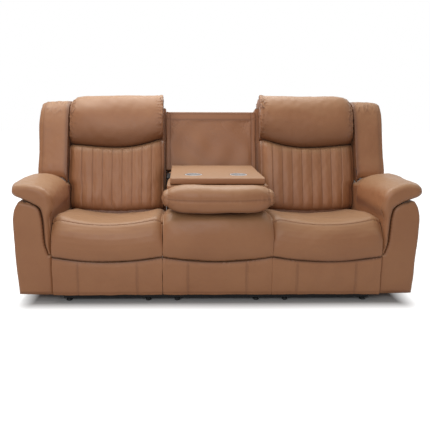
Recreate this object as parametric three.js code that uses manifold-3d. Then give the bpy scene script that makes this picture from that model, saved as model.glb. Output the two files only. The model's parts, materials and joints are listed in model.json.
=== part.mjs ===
// Three seat reclining sofa whose centre back drops forward to make a console table.
// Millimetres, +Z up, the front faces -Y. Left and right are as seen from the front.
// The origin is the centre of the sofa's footprint on the floor.
import * as THREE from 'three';
import { mergeVertices } from 'three/addons/utils/BufferGeometryUtils.js';
import Module from 'manifold-3d';

const wasm = await Module();
wasm.setup();

// Seats. Y is counted from the front of the lower panels until the last lines of this file.
const centerSeatWidth = 554;
const outerSeatWidth = 560;
const moduleGap = 6;
const seamGap = 2;
const upholsteryClearance = 45;
const seatRearY = 586;
const seatFaceY = 112;
const seamMid = { y: 30, z: 404 };
const seamEndRise = { y: 30, z: 31 };
const noseRootMid = { y: 78, z: 376 };
const noseRootRise = 22;
const seatRearTop = 350;
const seatRearRise = 23;
const seatCrown = 12;
const seatSideCrown = 16;
const seatShoulderDrop = 46;

// Front of a seat, which is the leg rest when it is folded away.
const creaseMidZ = 216;
const creaseEndRise = 26;
const creaseGap = 3;
const padSeamGap = 3;
const frontPadBulge = 34;
const panelSeamX = 151;
const panelSeamDepth = 3;
const panelSeamHalfWidth = 4;
const boardFrontY = 32;
const boardThickness = 15;
const boardTopZ = 340;
const boardSideMargin = 30;
const standoffHeight = 50;

// Backs, in a frame that leans with them: x across, n forward of the hinge, s up the back.
const backLean = THREE.MathUtils.degToRad(14.5);
const hinge = { y: 640, z: 330 };
const frameRearDepth = -55;
const frameFrontDepth = 45;
const frameTopHeight = 660;
const frameBottomHeight = 30;
const stileWidth = 34;
const backOverhang = 14;
const lumbarFrontDepth = 224;
const lumbarBottomHeight = -2;
const lumbarBottomRise = 26;
const lumbarRearHeight = 48;
const headrestCreaseHeight = 380;
const headrestOuterRise = 22;
const headrestInnerRise = 58;
const headrestPadding = 62;
const headrestTopHeight = frameTopHeight + headrestPadding;
const headrestFrontDepth = 242;
const channelCount = 8;
const channelPitch = 58.4;
const channelDepth = 8;
const channelShift = 3;
const wingStepHeight = 300;
const lumbarTopGap = 5;
const backSideGap = 4;
const rearCoverThickness = 9;
const wingWidth = 174;
const wingTopHeight = 688;
const wingBottomHeight = 229;
const wingRound = 24;
const wingFrontDepth = 217;
const headrestEndDrop = 24;

// Centre back that stays up behind the console.
const fixedPanelMargin = 5;
const fixedPanelHalfWidth = centerSeatWidth / 2 - fixedPanelMargin;
const centerCoverOverhang = 4;
const fixedPanelBottomHeight = 262;
const fixedPanelTopHeight = 629;
const fixedPanelFrontDepth = 65;
const centerFrameFrontDepth = 25;
const centerFrameTopHeight = 618;
const borderBand = 22;
const borderSeamDepth = 4;

// Console, folded down as it rests.
const consolePivot = { y: 490, z: 520 };
const consoleSideMargin = 16;
const tableMargin = 19;
const consoleCushionHalfWidth = centerSeatWidth / 2 - consoleSideMargin;
const tableHalfWidth = consoleCushionHalfWidth - tableMargin;
const tableTopZ = 639;
const tableThickness = 33;
const tableFrontY = 71;
const tableRearY = 572;
const tableEdge = 6;
const consoleCushionBottomZ = 478;
const consoleCushionCrown = 12;
const flangeThickness = 2.4;
const flangeReach = 36;
const pillowOverhang = 3;
const pillowHalfWidth = centerSeatWidth / 2 + pillowOverhang;
const pillowFrontY = -60;
const pillowBottomZ = 470;
const pillowTopZ = 613;
const cupX = 120.3;
const cupY = 201;
const cupRadius = 41.5;
const cupFlangeRadius = 47.5;
const cupFlangeThickness = 1.6;
const cupDepth = 60;
const cupWall = 1.5;
const cupSides = 28;
const cupRebate = 2;
const consoleArmGap = 1;

// Arms, on the outside of the outer seats.
const armGap = 4;
const armWidth = 189.5;
const armLip = 23.5;
const armTopZ = 618;
const armBottomZ = 40;
const armFrontY = 18;
const armRearY = 700;
const padFrontY = 4;
const padBottomZ = 400;
const padInnerFade = 0.4;
const padDropStartY = 380;
const padRearDrop = 52;
const tongueRearY = 60;
const tongueStep = 4;
const armCrease = 1;
const padFrontRound = 26;
const panelRound = 12;
const borderStep = 0.1;

// Steelwork under each seat.
const mechanismMargin = 65;
const linkToPlate = 16;
const plateToRail = 10;
const frontBarOverhang = 26;
const thighLinkX = Math.min(centerSeatWidth, outerSeatWidth) / 2 - mechanismMargin;
const plateX = thighLinkX - linkToPlate;
const railX = plateX + plateToRail;
const frontBarHalfWidth = railX + frontBarOverhang;
const glideRadius = 16;
const glideHeight = 12;
const railWidth = 24;
const railBottomZ = 18;
const railTopZ = 44;
const baseFrontY = 22;
const baseRearY = 711;
const crossBarDepth = 26;
const glideFrontY = 35;
const glideRearY = 690;
const plateThickness = 5;
const plateBottomZ = 168;
const plateTopZ = 238;
const plateFrontY = 100;
const runnerDepth = 18;
const runnerFrontY = 220;
const runnerRearY = 600;
const trackWidth = 16;
const trackFloor = 12;
const trackFrontY = 200;
const trackRearY = 650;
const postDepth = 30;
const postFrontY = 262;
const postRearY = 560;
const tubeSide = 25;
const stringerWidth = 20;
const stringerDepth = 10;
const springWire = 4;
const springCount = 3;
const springBends = 7;
const springAmplitude = 24;
const clipWidth = 14;
const outriggerLowY = 150;
const outriggerHighY = 590;
const outriggerDepth = 25;
const armFootPlate = { height: 100, width: 60, thickness: 5 };
const skirtTopZ = 300;
const skirtThickness = 10;
const skirtPostX = 120;
const skirtPostWidth = 24;
const skirtPostDepth = 8;
const tieLength = 60;
const tieThickness = 5;
const tieY = 380;
const tieEdge = 10;

// Leg rest linkage: pivots as (Y, Z) with the leg rest folded away.
const thighPivot = { y: 285, z: 200 };
const kneePivot = { y: 276, z: 85 };
const anklePivot = { y: 91, z: 347 };
const controlPivot = { y: 358.2, z: 207.9 };
const controlPin = { y: 318.8, z: 71.2 };
const linkThickness = 5;
const linkGap = 2;
const linkRadius = 13;
const torqueTubeRadius = 10;
const ankleTubeRadius = 8;
const shaftRadius = 8;
const pinRadius = 5;
const openPivotClearance = 4.2;
const ankleLugMargin = 1;
const slotClearance = 4;

// Recline hinge and console hinge.
const hingeLugRadius = 18;
const neckShare = 0.8;
const hingePinRadius = 8;
const consoleLugRadius = 20;
const consoleArmThickness = 4;
const consoleBracketThickness = 5;

// Release handle in the outer face of each arm.
const releaseY = 300;
const releaseZ = 352;
const pocketLength = 104;
const pocketHeight = 64;
const pocketDepth = 26;
const pocketWall = 3;
const bezel = 9;
const bezelThickness = 3;
const handleLength = 62;
const handleThickness = 4;
const handleBarrelRadius = 4;
const handlePinRadius = 2.2;
const handleInset = 1;

// Clearances.
const touch = 0.3;
const running = 0.3;
const overrun = 5;
const pocketClearance = 1;

const finish = (color, roughness, metalness = 0) =>
  new THREE.MeshStandardMaterial({ color, roughness, metalness });
const leather = finish(0x9c7050, 0.5);
const blackSteel = finish(0x16171a, 0.45, 0.8);
const zincSteel = finish(0xa8abb0, 0.35, 0.9);
const stainless = finish(0xd3d6da, 0.2, 1);
const plywood = finish(0xc49a66, 0.7);
const blackPlastic = finish(0x1b1b1d, 0.5);

const sofa = new THREE.Group();
const { lerp, clamp } = THREE.MathUtils;
const vector = (x, y, z) => new THREE.Vector3(x, y, z);
const axisX = vector(1, 0, 0);
const axisY = vector(0, 1, 0);
const axisZ = vector(0, 0, 1);

// Booleans.
function solidOf(geometry) {
  const bare = geometry.clone();
  bare.deleteAttribute('normal');
  bare.deleteAttribute('uv');
  const merged = mergeVertices(bare);
  const vertProperties = new Float32Array(merged.attributes.position.array);
  const triVerts = new Uint32Array(merged.index.array);
  return new wasm.Manifold(new wasm.Mesh({ numProp: 3, vertProperties, triVerts }));
}

function geometryOf(solid) {
  const { vertProperties, triVerts } = solid.getMesh();
  const geometry = new THREE.BufferGeometry();
  geometry.setAttribute('position', new THREE.BufferAttribute(new Float32Array(vertProperties), 3));
  geometry.setIndex(new THREE.BufferAttribute(new Uint32Array(triVerts), 1));
  return geometry;
}

const join = (...bodies) => geometryOf(bodies.map(solidOf).reduce((whole, next) => whole.add(next)));
const cut = (body, ...tools) =>
  geometryOf(tools.map(solidOf).reduce((rest, tool) => rest.subtract(tool), solidOf(body)));

// Prisms: an outline of number pairs carried along one axis.
const shapeOf = outline => new THREE.Shape(outline.map(([a, b]) => new THREE.Vector2(a, b)));

function prism(outline, length, basis) {
  const geometry = new THREE.ExtrudeGeometry(shapeOf(outline), { depth: length, bevelEnabled: false });
  return geometry.applyMatrix4(new THREE.Matrix4().makeBasis(...basis));
}

const alongX = (outlineYZ, x0, x1) => prism(outlineYZ, x1 - x0, [axisY, axisZ, axisX]).translate(x0, 0, 0);
const alongY = (outlineXZ, y0, y1) =>
  prism(outlineXZ, y1 - y0, [axisX, axisZ, axisY.clone().negate()]).translate(0, y1, 0);
const alongZ = (outlineXY, z0, z1) => prism(outlineXY, z1 - z0, [axisX, axisY, axisZ]).translate(0, 0, z0);

function brick(x0, x1, y0, y1, z0, z1) {
  const geometry = new THREE.BoxGeometry(x1 - x0, y1 - y0, z1 - z0);
  return geometry.translate((x0 + x1) / 2, (y0 + y1) / 2, (z0 + z1) / 2);
}

function rodX(radius, x0, x1, place, sides = 14) {
  const geometry = new THREE.CylinderGeometry(radius, radius, x1 - x0, sides).rotateZ(Math.PI / 2);
  return geometry.translate((x0 + x1) / 2, place.y, place.z);
}

function rodZ(radius, z0, z1, x, y, sides = 14) {
  const geometry = new THREE.CylinderGeometry(radius, radius, z1 - z0, sides).rotateX(Math.PI / 2);
  return geometry.translate(x, y, (z0 + z1) / 2);
}

// A flat bar with round ends, from one pivot to another, as an outline in (Y, Z).
function barOutline(from, to, radius, steps = 6) {
  const heading = Math.atan2(to.z - from.z, to.y - from.y);
  const arc = (centre, start) => Array.from({ length: steps + 1 }, (_, k) => {
    const angle = start + Math.PI * k / steps;
    return [centre.y + radius * Math.cos(angle), centre.z + radius * Math.sin(angle)];
  });
  return [...arc(to, heading - Math.PI / 2), ...arc(from, heading + Math.PI / 2)];
}

// Soft and moulded forms: rings of points along one axis, closed by a flat cap at each end.
function outward(geometry) {
  const position = geometry.attributes.position;
  const index = geometry.index.array;
  const [a, b, c] = [vector(), vector(), vector()];
  let volume = 0;
  for (let t = 0; t < index.length; t += 3) {
    a.fromBufferAttribute(position, index[t]);
    b.fromBufferAttribute(position, index[t + 1]);
    c.fromBufferAttribute(position, index[t + 2]);
    volume += a.dot(b.cross(c));
  }
  if (volume > 0) return geometry;
  const turned = Array.from(index, (_, i) => index[i - (i % 3) + [0, 2, 1][i % 3]]);
  geometry.setIndex(turned);
  return geometry;
}

function bodyOf(points, index) {
  const geometry = new THREE.BufferGeometry().setFromPoints(points);
  geometry.setIndex(index);
  return outward(geometry);
}

// Triangles that fill a loop of points, wound the same way as the loop.
function fill(loop, flatten) {
  const contour = loop.map(flatten);
  const turn = Math.sign(THREE.ShapeUtils.area(contour));
  return THREE.ShapeUtils.triangulateShape(contour, []).map(([a, b, c]) => {
    const same = Math.sign(THREE.ShapeUtils.area([contour[a], contour[b], contour[c]])) === turn;
    return same ? [a, b, c] : [a, c, b];
  });
}

const flatX = p => new THREE.Vector2(p.y, p.z);
const flatY = p => new THREE.Vector2(p.x, p.z);

function loft(rings, flatten) {
  const count = rings[0].length;
  const index = [];
  for (let r = 0; r + 1 < rings.length; r++) {
    for (let i = 0; i < count; i++) {
      const [a, b] = [r * count + i, r * count + (i + 1) % count];
      index.push(a, b, b + count, a, b + count, a + count);
    }
  }
  const last = (rings.length - 1) * count;
  fill(rings[0], flatten).forEach(([a, b, c]) => index.push(a, c, b));
  fill(rings.at(-1), flatten).forEach(([a, b, c]) => index.push(last + a, last + b, last + c));
  return bodyOf(rings.flat(), index);
}

// A padded face: a grid front(u, v) over a flat rear whose edge is rear(u, v).
function relief(us, vs, front, rear) {
  const columns = us.length;
  const rows = vs.length;
  const points = vs.flatMap(v => us.map(u => front(u, v)));
  const index = [];
  for (let j = 0; j + 1 < rows; j++) {
    for (let i = 0; i + 1 < columns; i++) {
      const a = j * columns + i;
      index.push(a, a + 1, a + columns + 1, a, a + columns + 1, a + columns);
    }
  }
  const edge = [];
  for (let i = 0; i < columns; i++) edge.push([i, 0]);
  for (let j = 1; j < rows; j++) edge.push([columns - 1, j]);
  for (let i = columns - 2; i >= 0; i--) edge.push([i, rows - 1]);
  for (let j = rows - 2; j > 0; j--) edge.push([0, j]);
  const base = points.length;
  const loop = edge.map(([i, j]) => rear(us[i], vs[j]));
  points.push(...loop);
  edge.forEach(([i, j], k) => {
    const next = (k + 1) % edge.length;
    const here = j * columns + i;
    const there = edge[next][1] * columns + edge[next][0];
    index.push(here, base + k, base + next, here, base + next, there);
  });
  fill(loop, flatY).forEach(([a, b, c]) => index.push(base + a, base + c, base + b));
  return bodyOf(points, index);
}

// Scales a ring towards its own middle, so that its widest size shrinks by twice the inset.
function inset(ring, amount) {
  const box = new THREE.Box3().setFromPoints(ring);
  const middle = box.getCenter(vector());
  const size = box.getSize(vector());
  const shrink = axis => (size[axis] > 0 ? 1 - 2 * amount / size[axis] : 1);
  return ring.map(p => vector(
    middle.x + (p.x - middle.x) * shrink('x'),
    middle.y + (p.y - middle.y) * shrink('y'),
    middle.z + (p.z - middle.z) * shrink('z')));
}

// How far a quarter-round edge has fallen at a share t of its width, from 0 to 1.
const roundOff = t => 1 - Math.sqrt(1 - clamp(t, 0, 1) ** 2);
const mirror = geometry => {
  const turned = geometry.index ? geometry.clone() : mergeVertices(geometry.clone());
  return outward(turned.scale(-1, 1, 1));
};

function add(name, geometry, material, parent = sofa) {
  const mesh = new THREE.Mesh(geometry, material);
  mesh.name = name;
  parent.add(mesh);
  return mesh;
}

// Base frame: two rails on glides, cross bars, and posts that carry the seat's tracks.
// Tie plates on the centre frame reach over the inner rails of the outer frames.
const outerCenterX = centerSeatWidth / 2 + moduleGap + outerSeatWidth / 2;
const plateMiddleX = plateX + plateThickness / 2;
const runnerBottomZ = plateBottomZ - runnerDepth;
const trackTopZ = plateBottomZ - touch * 2;
const trackBottomZ = runnerBottomZ - touch - trackFloor;
const glideProfileShares = [[0, 0], [0.6, 0], [1, 0.45], [0.8, 1]];

function glide(x, y) {
  const foot = glideProfileShares.map(([r, h]) => new THREE.Vector2(glideRadius * r, glideHeight * h));
  foot.push(new THREE.Vector2(glideRadius / 2, glideHeight));
  foot.push(new THREE.Vector2(glideRadius / 2, railBottomZ + overrun));
  foot.push(new THREE.Vector2(0, railBottomZ + overrun));
  return new THREE.LatheGeometry(foot, 10).rotateX(Math.PI / 2).translate(x, y, 0);
}

function track(side) {
  const middle = side * plateMiddleX;
  const slot = plateThickness / 2 + running;
  const channel = brick(middle - trackWidth / 2, middle + trackWidth / 2, trackFrontY, trackRearY,
    trackBottomZ, trackTopZ);
  const groove = brick(middle - slot, middle + slot, trackFrontY - overrun, trackRearY + overrun,
    runnerBottomZ - touch, trackTopZ + overrun);
  return cut(channel, groove);
}

function baseFrame(outriggers) {
  const pieces = [];
  const inner = railX - railWidth / 2;
  const outer = railX + railWidth / 2;
  for (const side of [-1, 1]) {
    const [x0, x1] = [side * inner, side * outer].sort((a, b) => a - b);
    pieces.push(brick(x0, x1, baseFrontY, baseRearY - touch, railBottomZ, railTopZ));
    pieces.push(track(side));
    const postX = [side * (plateMiddleX - trackWidth / 2), side * (plateMiddleX + trackWidth / 2)];
    const [p0, p1] = postX.sort((a, b) => a - b);
    for (const y of [postFrontY, postRearY]) {
      pieces.push(brick(p0, p1, y, y + postDepth, railTopZ - overrun, trackBottomZ + overrun));
    }
    for (const y of [glideFrontY, glideRearY]) pieces.push(glide(side * railX, y));
    const stile = skirtPostX * side;
    pieces.push(brick(stile - skirtPostWidth / 2, stile + skirtPostWidth / 2,
      baseRearY - skirtPostDepth, baseRearY - touch, railBottomZ, skirtTopZ - skirtThickness));
  }
  const barHalf = outriggers ? frontBarHalfWidth : outerCenterX - frontBarHalfWidth - touch;
  pieces.push(brick(-barHalf, barHalf, baseFrontY, baseFrontY + crossBarDepth, railBottomZ, railTopZ));
  pieces.push(brick(-outer, outer, baseRearY - crossBarDepth, baseRearY - touch, railBottomZ, railTopZ));
  pieces.push(brick(-stringerWidth / 2, stringerWidth / 2, baseFrontY + touch, baseRearY - crossBarDepth / 2,
    railBottomZ + touch, railTopZ - touch));
  if (!outriggers) {
    const tieX = outerCenterX - railX + railWidth / 2 - tieEdge;
    const tieTop = railTopZ + touch + tieThickness;
    for (const side of [-1, 1]) {
      const [t0, t1] = [side * inner, side * tieX].sort((a, b) => a - b);
      const [f0, f1] = [side * inner, side * outer].sort((a, b) => a - b);
      pieces.push(brick(t0, t1, tieY, tieY + tieLength, railTopZ + touch, tieTop));
      pieces.push(brick(f0, f1, tieY, tieY + tieLength, railTopZ - touch, tieTop));
    }
  }
  if (outriggers) {
    const reach = outerSeatWidth / 2 + armGap - touch;
    const { height, width, thickness } = armFootPlate;
    for (const y of [outriggerLowY, outriggerHighY]) {
      pieces.push(brick(railX, reach, y, y + outriggerDepth, railBottomZ, railTopZ));
      pieces.push(brick(reach - thickness, reach, y - (width - outriggerDepth) / 2,
        y + (width + outriggerDepth) / 2, railTopZ + touch, railTopZ + height));
      pieces.push(brick(reach - thickness, reach, y, y + outriggerDepth, railBottomZ, railTopZ + overrun));
    }
  }
  return join(...pieces);
}

// Seat frame: two side plates that run in the tracks and carry every pivot, and cross tubes.
function seatPlate(side) {
  const neck = hingeLugRadius * neckShare;
  const outline = [
    [plateFrontY, plateBottomZ], [runnerFrontY, plateBottomZ], [runnerFrontY, runnerBottomZ],
    [runnerRearY, runnerBottomZ], [runnerRearY, plateBottomZ], [hinge.y + neck, plateTopZ],
    [hinge.y + neck, hinge.z], [hinge.y - neck, hinge.z],
    [seatRearY + clipWidth, plateTopZ], [plateFrontY, plateTopZ],
  ];
  const [x0, x1] = [side * plateX, side * (plateX + plateThickness)].sort((a, b) => a - b);
  const lug = rodX(hingeLugRadius, x0, x1, hinge, 20);
  return join(alongX(outline, x0, x1), lug);
}

function seatFrame(pivots) {
  const tubeTop = plateTopZ - touch;
  const tubeZ = tubeTop - tubeSide;
  const tubeEnd = plateX + plateThickness / 2;
  const rearTubeY = seatRearY - tubeSide;
  const body = join(
    seatPlate(-1), seatPlate(1),
    brick(-tubeEnd, tubeEnd, plateFrontY + touch, plateFrontY + tubeSide, tubeZ, tubeTop),
    brick(-tubeEnd, tubeEnd, rearTubeY, seatRearY, tubeZ, tubeTop),
    brick(-stringerWidth / 2, stringerWidth / 2, plateFrontY + tubeSide / 2, rearTubeY + tubeSide / 2,
      plateTopZ - springWire - stringerDepth, plateTopZ - springWire));
  const reach = plateX + plateThickness + overrun;
  const bores = [rodX(hingePinRadius + running, -reach, reach, hinge, 20)];
  if (pivots) {
    bores.push(rodX(torqueTubeRadius + running, -reach, reach, thighPivot, 16));
    bores.push(rodX(shaftRadius + running, -reach, reach, controlPivot, 16));
  }
  return cut(body, ...bores);
}

// Spring deck: zigzag wires between two clip rails on top of the seat frame.
function springDeck() {
  const z0 = plateTopZ + touch;
  const frontY = plateFrontY + tubeSide / 2;
  const rearY = seatRearY - tubeSide / 2;
  const half = plateX - springWire;
  const pieces = [
    brick(-half, half, frontY - clipWidth / 2, frontY + clipWidth / 2, z0, z0 + springWire),
    brick(-half, half, rearY - clipWidth / 2, rearY + clipWidth / 2, z0, z0 + springWire),
  ];
  for (let k = 0; k < springCount; k++) {
    const middle = half * (2 * k + 1 - springCount) / springCount;
    const wave = Array.from({ length: 2 * springBends + 1 }, (_, i) => {
      const swing = springAmplitude * Math.sign(Math.sin(Math.PI * (i + 0.5) / 2));
      return [middle + swing, lerp(frontY, rearY, i / (2 * springBends))];
    });
    const near = wave.map(([x, y]) => [x - springWire, y]);
    const far = wave.map(([x, y]) => [x + springWire, y]).reverse();
    pieces.push(alongZ([...near, ...far], z0, z0 + springWire));
  }
  return join(...pieces);
}

// Seat cushion: a saucer-shaped top that runs over a nose to the seam above the front pad.
const cushionBottomZ = plateTopZ + springWire + 3 * touch;
const endDrop = s => seatShoulderDrop * roundOff((Math.abs(s) - 0.8) / 0.2);
const seamY = s => seamMid.y + seamEndRise.y * s * s;
const seamZ = s => seamMid.z + seamEndRise.z * s * s - endDrop(s);
const rootZ = s => noseRootMid.z + noseRootRise * s * s - endDrop(s) * 0.5;
const creaseZ = s => creaseMidZ + creaseEndRise * s * s;
const crossStations = [-1, -0.96, -0.88, -0.65, -0.35, 0, 0.35, 0.65, 0.88, 0.96, 1];

function seatTop(s, t) {
  const rearZ = seatRearTop + seatRearRise * s * s - endDrop(s);
  const crown = seatCrown + seatSideCrown * s * s;
  return lerp(seamZ(s), rearZ, t) + crown * Math.sin(Math.PI * t ** 0.7);
}

function seatCushion(width, slots) {
  const half = width / 2 - seamGap;
  const rearRound = seatRearY - touch;
  const topShares = [0.1, 0.25, 0.45, 0.65, 0.85, 0.96];
  const rings = crossStations.map(s => {
    const drawn = endDrop(s) * 0.25;
    const top = topShares.map(t => [lerp(seamY(s), seatRearY - drawn, t), seatTop(s, t)]);
    const face = seatFaceY + drawn * 0.5;
    const section = [
      [face, cushionBottomZ], [face, rootZ(s) - 2 * padSeamGap], [noseRootMid.y, rootZ(s)],
      [seamY(s), seamZ(s)], ...top,
      [rearRound - drawn, lerp(cushionBottomZ, seatTop(s, 1), 0.8)], [rearRound - drawn, cushionBottomZ],
    ];
    return section.map(([y, z]) => vector(half * s, y, z));
  });
  const body = loft(rings, flatX);
  if (!slots) return body;
  const [run, rise] = [anklePivot.y - kneePivot.y, anklePivot.z - kneePivot.z];
  const offset = (linkRadius + slotClearance) / Math.hypot(run, rise);
  const edge = { y: kneePivot.y + rise * offset, z: kneePivot.z - run * offset };
  const [frontY, floorZ] = [seatFaceY - overrun, cushionBottomZ - overrun];
  const slot = [
    [frontY, floorZ], [edge.y + (floorZ - edge.z) * run / rise, floorZ],
    [frontY, edge.z + (frontY - edge.y) * rise / run],
  ];
  return cut(body, ...[-1, 1].map(side => {
    const ends = [side * (shinLinkX - linkGap), side * (shinLinkX + linkThickness + linkGap)];
    const [x0, x1] = ends.sort((a, b) => a - b);
    return alongX(slot, x0, x1);
  }));
}

// Front pad: the bulging upper half of the seat's front, from the seam down to the crease.
function frontPad(width) {
  const half = width / 2 - seamGap;
  const back = boardFrontY - touch;
  const drops = [0.12, 0.28, 0.45, 0.62, 0.8, 0.93, 1];
  const rings = crossStations.map(s => {
    const top = seamZ(s) - padSeamGap;
    const bottom = creaseZ(s) + creaseGap / 2;
    const bulge = frontPadBulge * (1 - 0.35 * roundOff((Math.abs(s) - 0.8) / 0.2));
    const front = drops.map(t => [
      lerp(seamY(s) - padSeamGap, creaseGap * 2, t) - bulge * Math.sin(Math.PI * t ** 0.85),
      lerp(top, bottom, t)]);
    const section = [
      [back, bottom], [back, boardTopZ + touch],
      [noseRootMid.y - 2 * padSeamGap, rootZ(s) - padSeamGap], [seamY(s) - padSeamGap, top], ...front,
    ];
    return section.map(([y, z]) => vector(half * s, y, z));
  });
  return loft(rings, flatX);
}

// Lower panel: flat below the crease, with two sewn vertical seams.
function lowerPanel(width) {
  const half = width / 2 - seamGap;
  const seamXs = [-1, 0, 1].map(k => panelSeamX + k * panelSeamHalfWidth);
  const positive = [half * 0.25, ...seamXs, (panelSeamX + half) / 2, half - 2 * panelSeamHalfWidth, half];
  const us = [...positive.map(x => -x).reverse(), 0, ...positive];
  const vs = [0, 0.06, 0.5, 0.9, 1];
  const point = (u, v) => lerp(upholsteryClearance, creaseZ(u / half) - creaseGap / 2, v);
  const front = (u, v) => {
    const onEdge = Math.abs(u) === half || v === 0 || v === 1;
    const onSeam = Math.abs(u) === panelSeamX;
    return vector(u, (onEdge ? 2 : 0) * panelSeamDepth + (onSeam ? panelSeamDepth : 0), point(u, v));
  };
  return relief(us, vs, front, (u, v) => vector(u, boardFrontY - touch, point(u, v)));
}

// Leg rest board with the two brackets that the shin link's tube turns in. The centre seat's board
// is fixed, and stands off the front of its seat frame.
const shinLinkX = thighLinkX + linkThickness + linkGap;
const controlLinkX = shinLinkX + linkThickness + linkGap;

function legRestBoard(brackets) {
  const half = outerSeatWidth / 2 - boardSideMargin;
  const rear = boardFrontY + boardThickness;
  const bottomZ = upholsteryClearance + panelSeamHalfWidth * 2;
  const board = brick(-half, half, boardFrontY, rear, bottomZ, boardTopZ);
  if (!brackets) {
    const standoffs = [-1, 1].map(side => {
      const [x0, x1] = [side * (plateX - 2 * plateThickness), side * (plateX + plateThickness)].sort((a, b) => a - b);
      return brick(x0, x1, rear - touch, plateFrontY - touch, plateTopZ - standoffHeight, plateTopZ - touch);
    });
    return join(board, ...standoffs);
  }
  const lug = linkRadius + ankleLugMargin;
  const cheeks = [-1, 1].map(side => {
    const [x0, x1] = [side * thighLinkX, side * (thighLinkX + linkThickness)].sort((a, b) => a - b);
    const web = [
      [rear - touch, anklePivot.z - 3 * linkRadius], [anklePivot.y + lug / 2, anklePivot.z - lug * 0.8],
      [anklePivot.y + lug / 2, anklePivot.z + lug * 0.8], [rear - touch, boardTopZ - linkGap],
    ];
    return join(alongX(web, x0, x1), rodX(lug, x0, x1, anklePivot, 18));
  });
  const reach = thighLinkX + 2 * linkThickness;
  return cut(join(board, ...cheeks), rodX(ankleTubeRadius + running, -reach, reach, anklePivot, 16));
}

// Leg rest links: each pair is one piece, joined across the seat by its tube or shaft.
function linkPair(x, bars, tube, tubeRadius) {
  const pieces = [-1, 1].flatMap(side => {
    const [x0, x1] = [side * x, side * (x + linkThickness)].sort((a, b) => a - b);
    return bars.map(([from, to], k) => alongX(barOutline(from, to, linkRadius - 2 * k * linkGap), x0, x1));
  });
  return join(...pieces, rodX(tubeRadius, -x - linkThickness / 2, x + linkThickness / 2, tube, 16));
}

const bothSides = (radius, x0, x1, place) => [rodX(radius, x0, x1, place), rodX(radius, -x1, -x0, place)];

function thighLink() {
  const pair = linkPair(thighLinkX, [[thighPivot, kneePivot]], thighPivot, torqueTubeRadius);
  const [x0, x1] = [thighLinkX - overrun, thighLinkX + linkThickness + overrun];
  return cut(pair, ...bothSides(pinRadius + running, x0, x1, kneePivot));
}

function shinLink() {
  const pair = linkPair(shinLinkX, [[kneePivot, anklePivot], [kneePivot, controlPin]], anklePivot,
    ankleTubeRadius);
  return join(pair,
    ...bothSides(pinRadius, thighLinkX - linkGap / 2, shinLinkX + linkGap, kneePivot),
    ...bothSides(pinRadius, shinLinkX + linkGap, controlLinkX + linkThickness + linkGap / 2, controlPin));
}

function controlLink() {
  const pair = linkPair(controlLinkX, [[controlPivot, controlPin]], controlPivot, shaftRadius);
  const [x0, x1] = [controlLinkX - overrun, controlLinkX + linkThickness + overrun];
  return cut(pair, ...bothSides(pinRadius + openPivotClearance, x0, x1, controlPin));
}

// Places a point given as (x, n, s) in the leaning group of a back.
const lean = (x, n, s) => vector(x, -n, s);

// Back frame: plywood stiles and rails, and the two plates that hang on the recline hinge.
function backFrame(innerX, outerX, wideX, topS, frontN, stileCount) {
  const stile = stileWidth;
  const outline = [
    [innerX, frameBottomHeight], [outerX, frameBottomHeight], [outerX, wingStepHeight],
    [wideX, wingStepHeight + stile], [wideX, topS], [innerX, topS],
  ];
  const windowBottom = frameBottomHeight + 2 * stile;
  const bay = (outerX - innerX - stile) / stileCount;
  const windows = Array.from({ length: stileCount }, (_, k) => {
    const x0 = innerX + stile + bay * k;
    return brick(x0, x0 + bay - stile, -frontN - overrun, -frameRearDepth + overrun, windowBottom, topS - stile);
  });
  const panel = cut(alongY(outline, -frontN, -frameRearDepth), ...windows);
  const bracketX = plateX + plateThickness + linkGap;
  const bracket = [-1, 1].flatMap(side => {
    const [x0, x1] = [side * bracketX, side * (bracketX + plateThickness)].sort((a, b) => a - b);
    const neck = hingeLugRadius * neckShare;
    const web = [[-neck, 0], [neck, 0], [neck, windowBottom - touch], [-neck, windowBottom - touch]];
    const pin = [side * (plateX - linkGap), side * (bracketX + linkGap)].sort((a, b) => a - b);
    const origin = { y: 0, z: 0 };
    return [alongX(web, x0, x1), rodX(hingeLugRadius, x0, x1, origin, 20),
      rodX(hingePinRadius, pin[0], pin[1], origin, 20)];
  });
  return join(panel, ...bracket);
}

// Lumbar cushion: sewn vertical channels over a deep pad that rounds off at its sides.

function creaseS(u) {
  return headrestCreaseHeight + (u > 0 ? headrestOuterRise : headrestInnerRise) * u * u;
}

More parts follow.
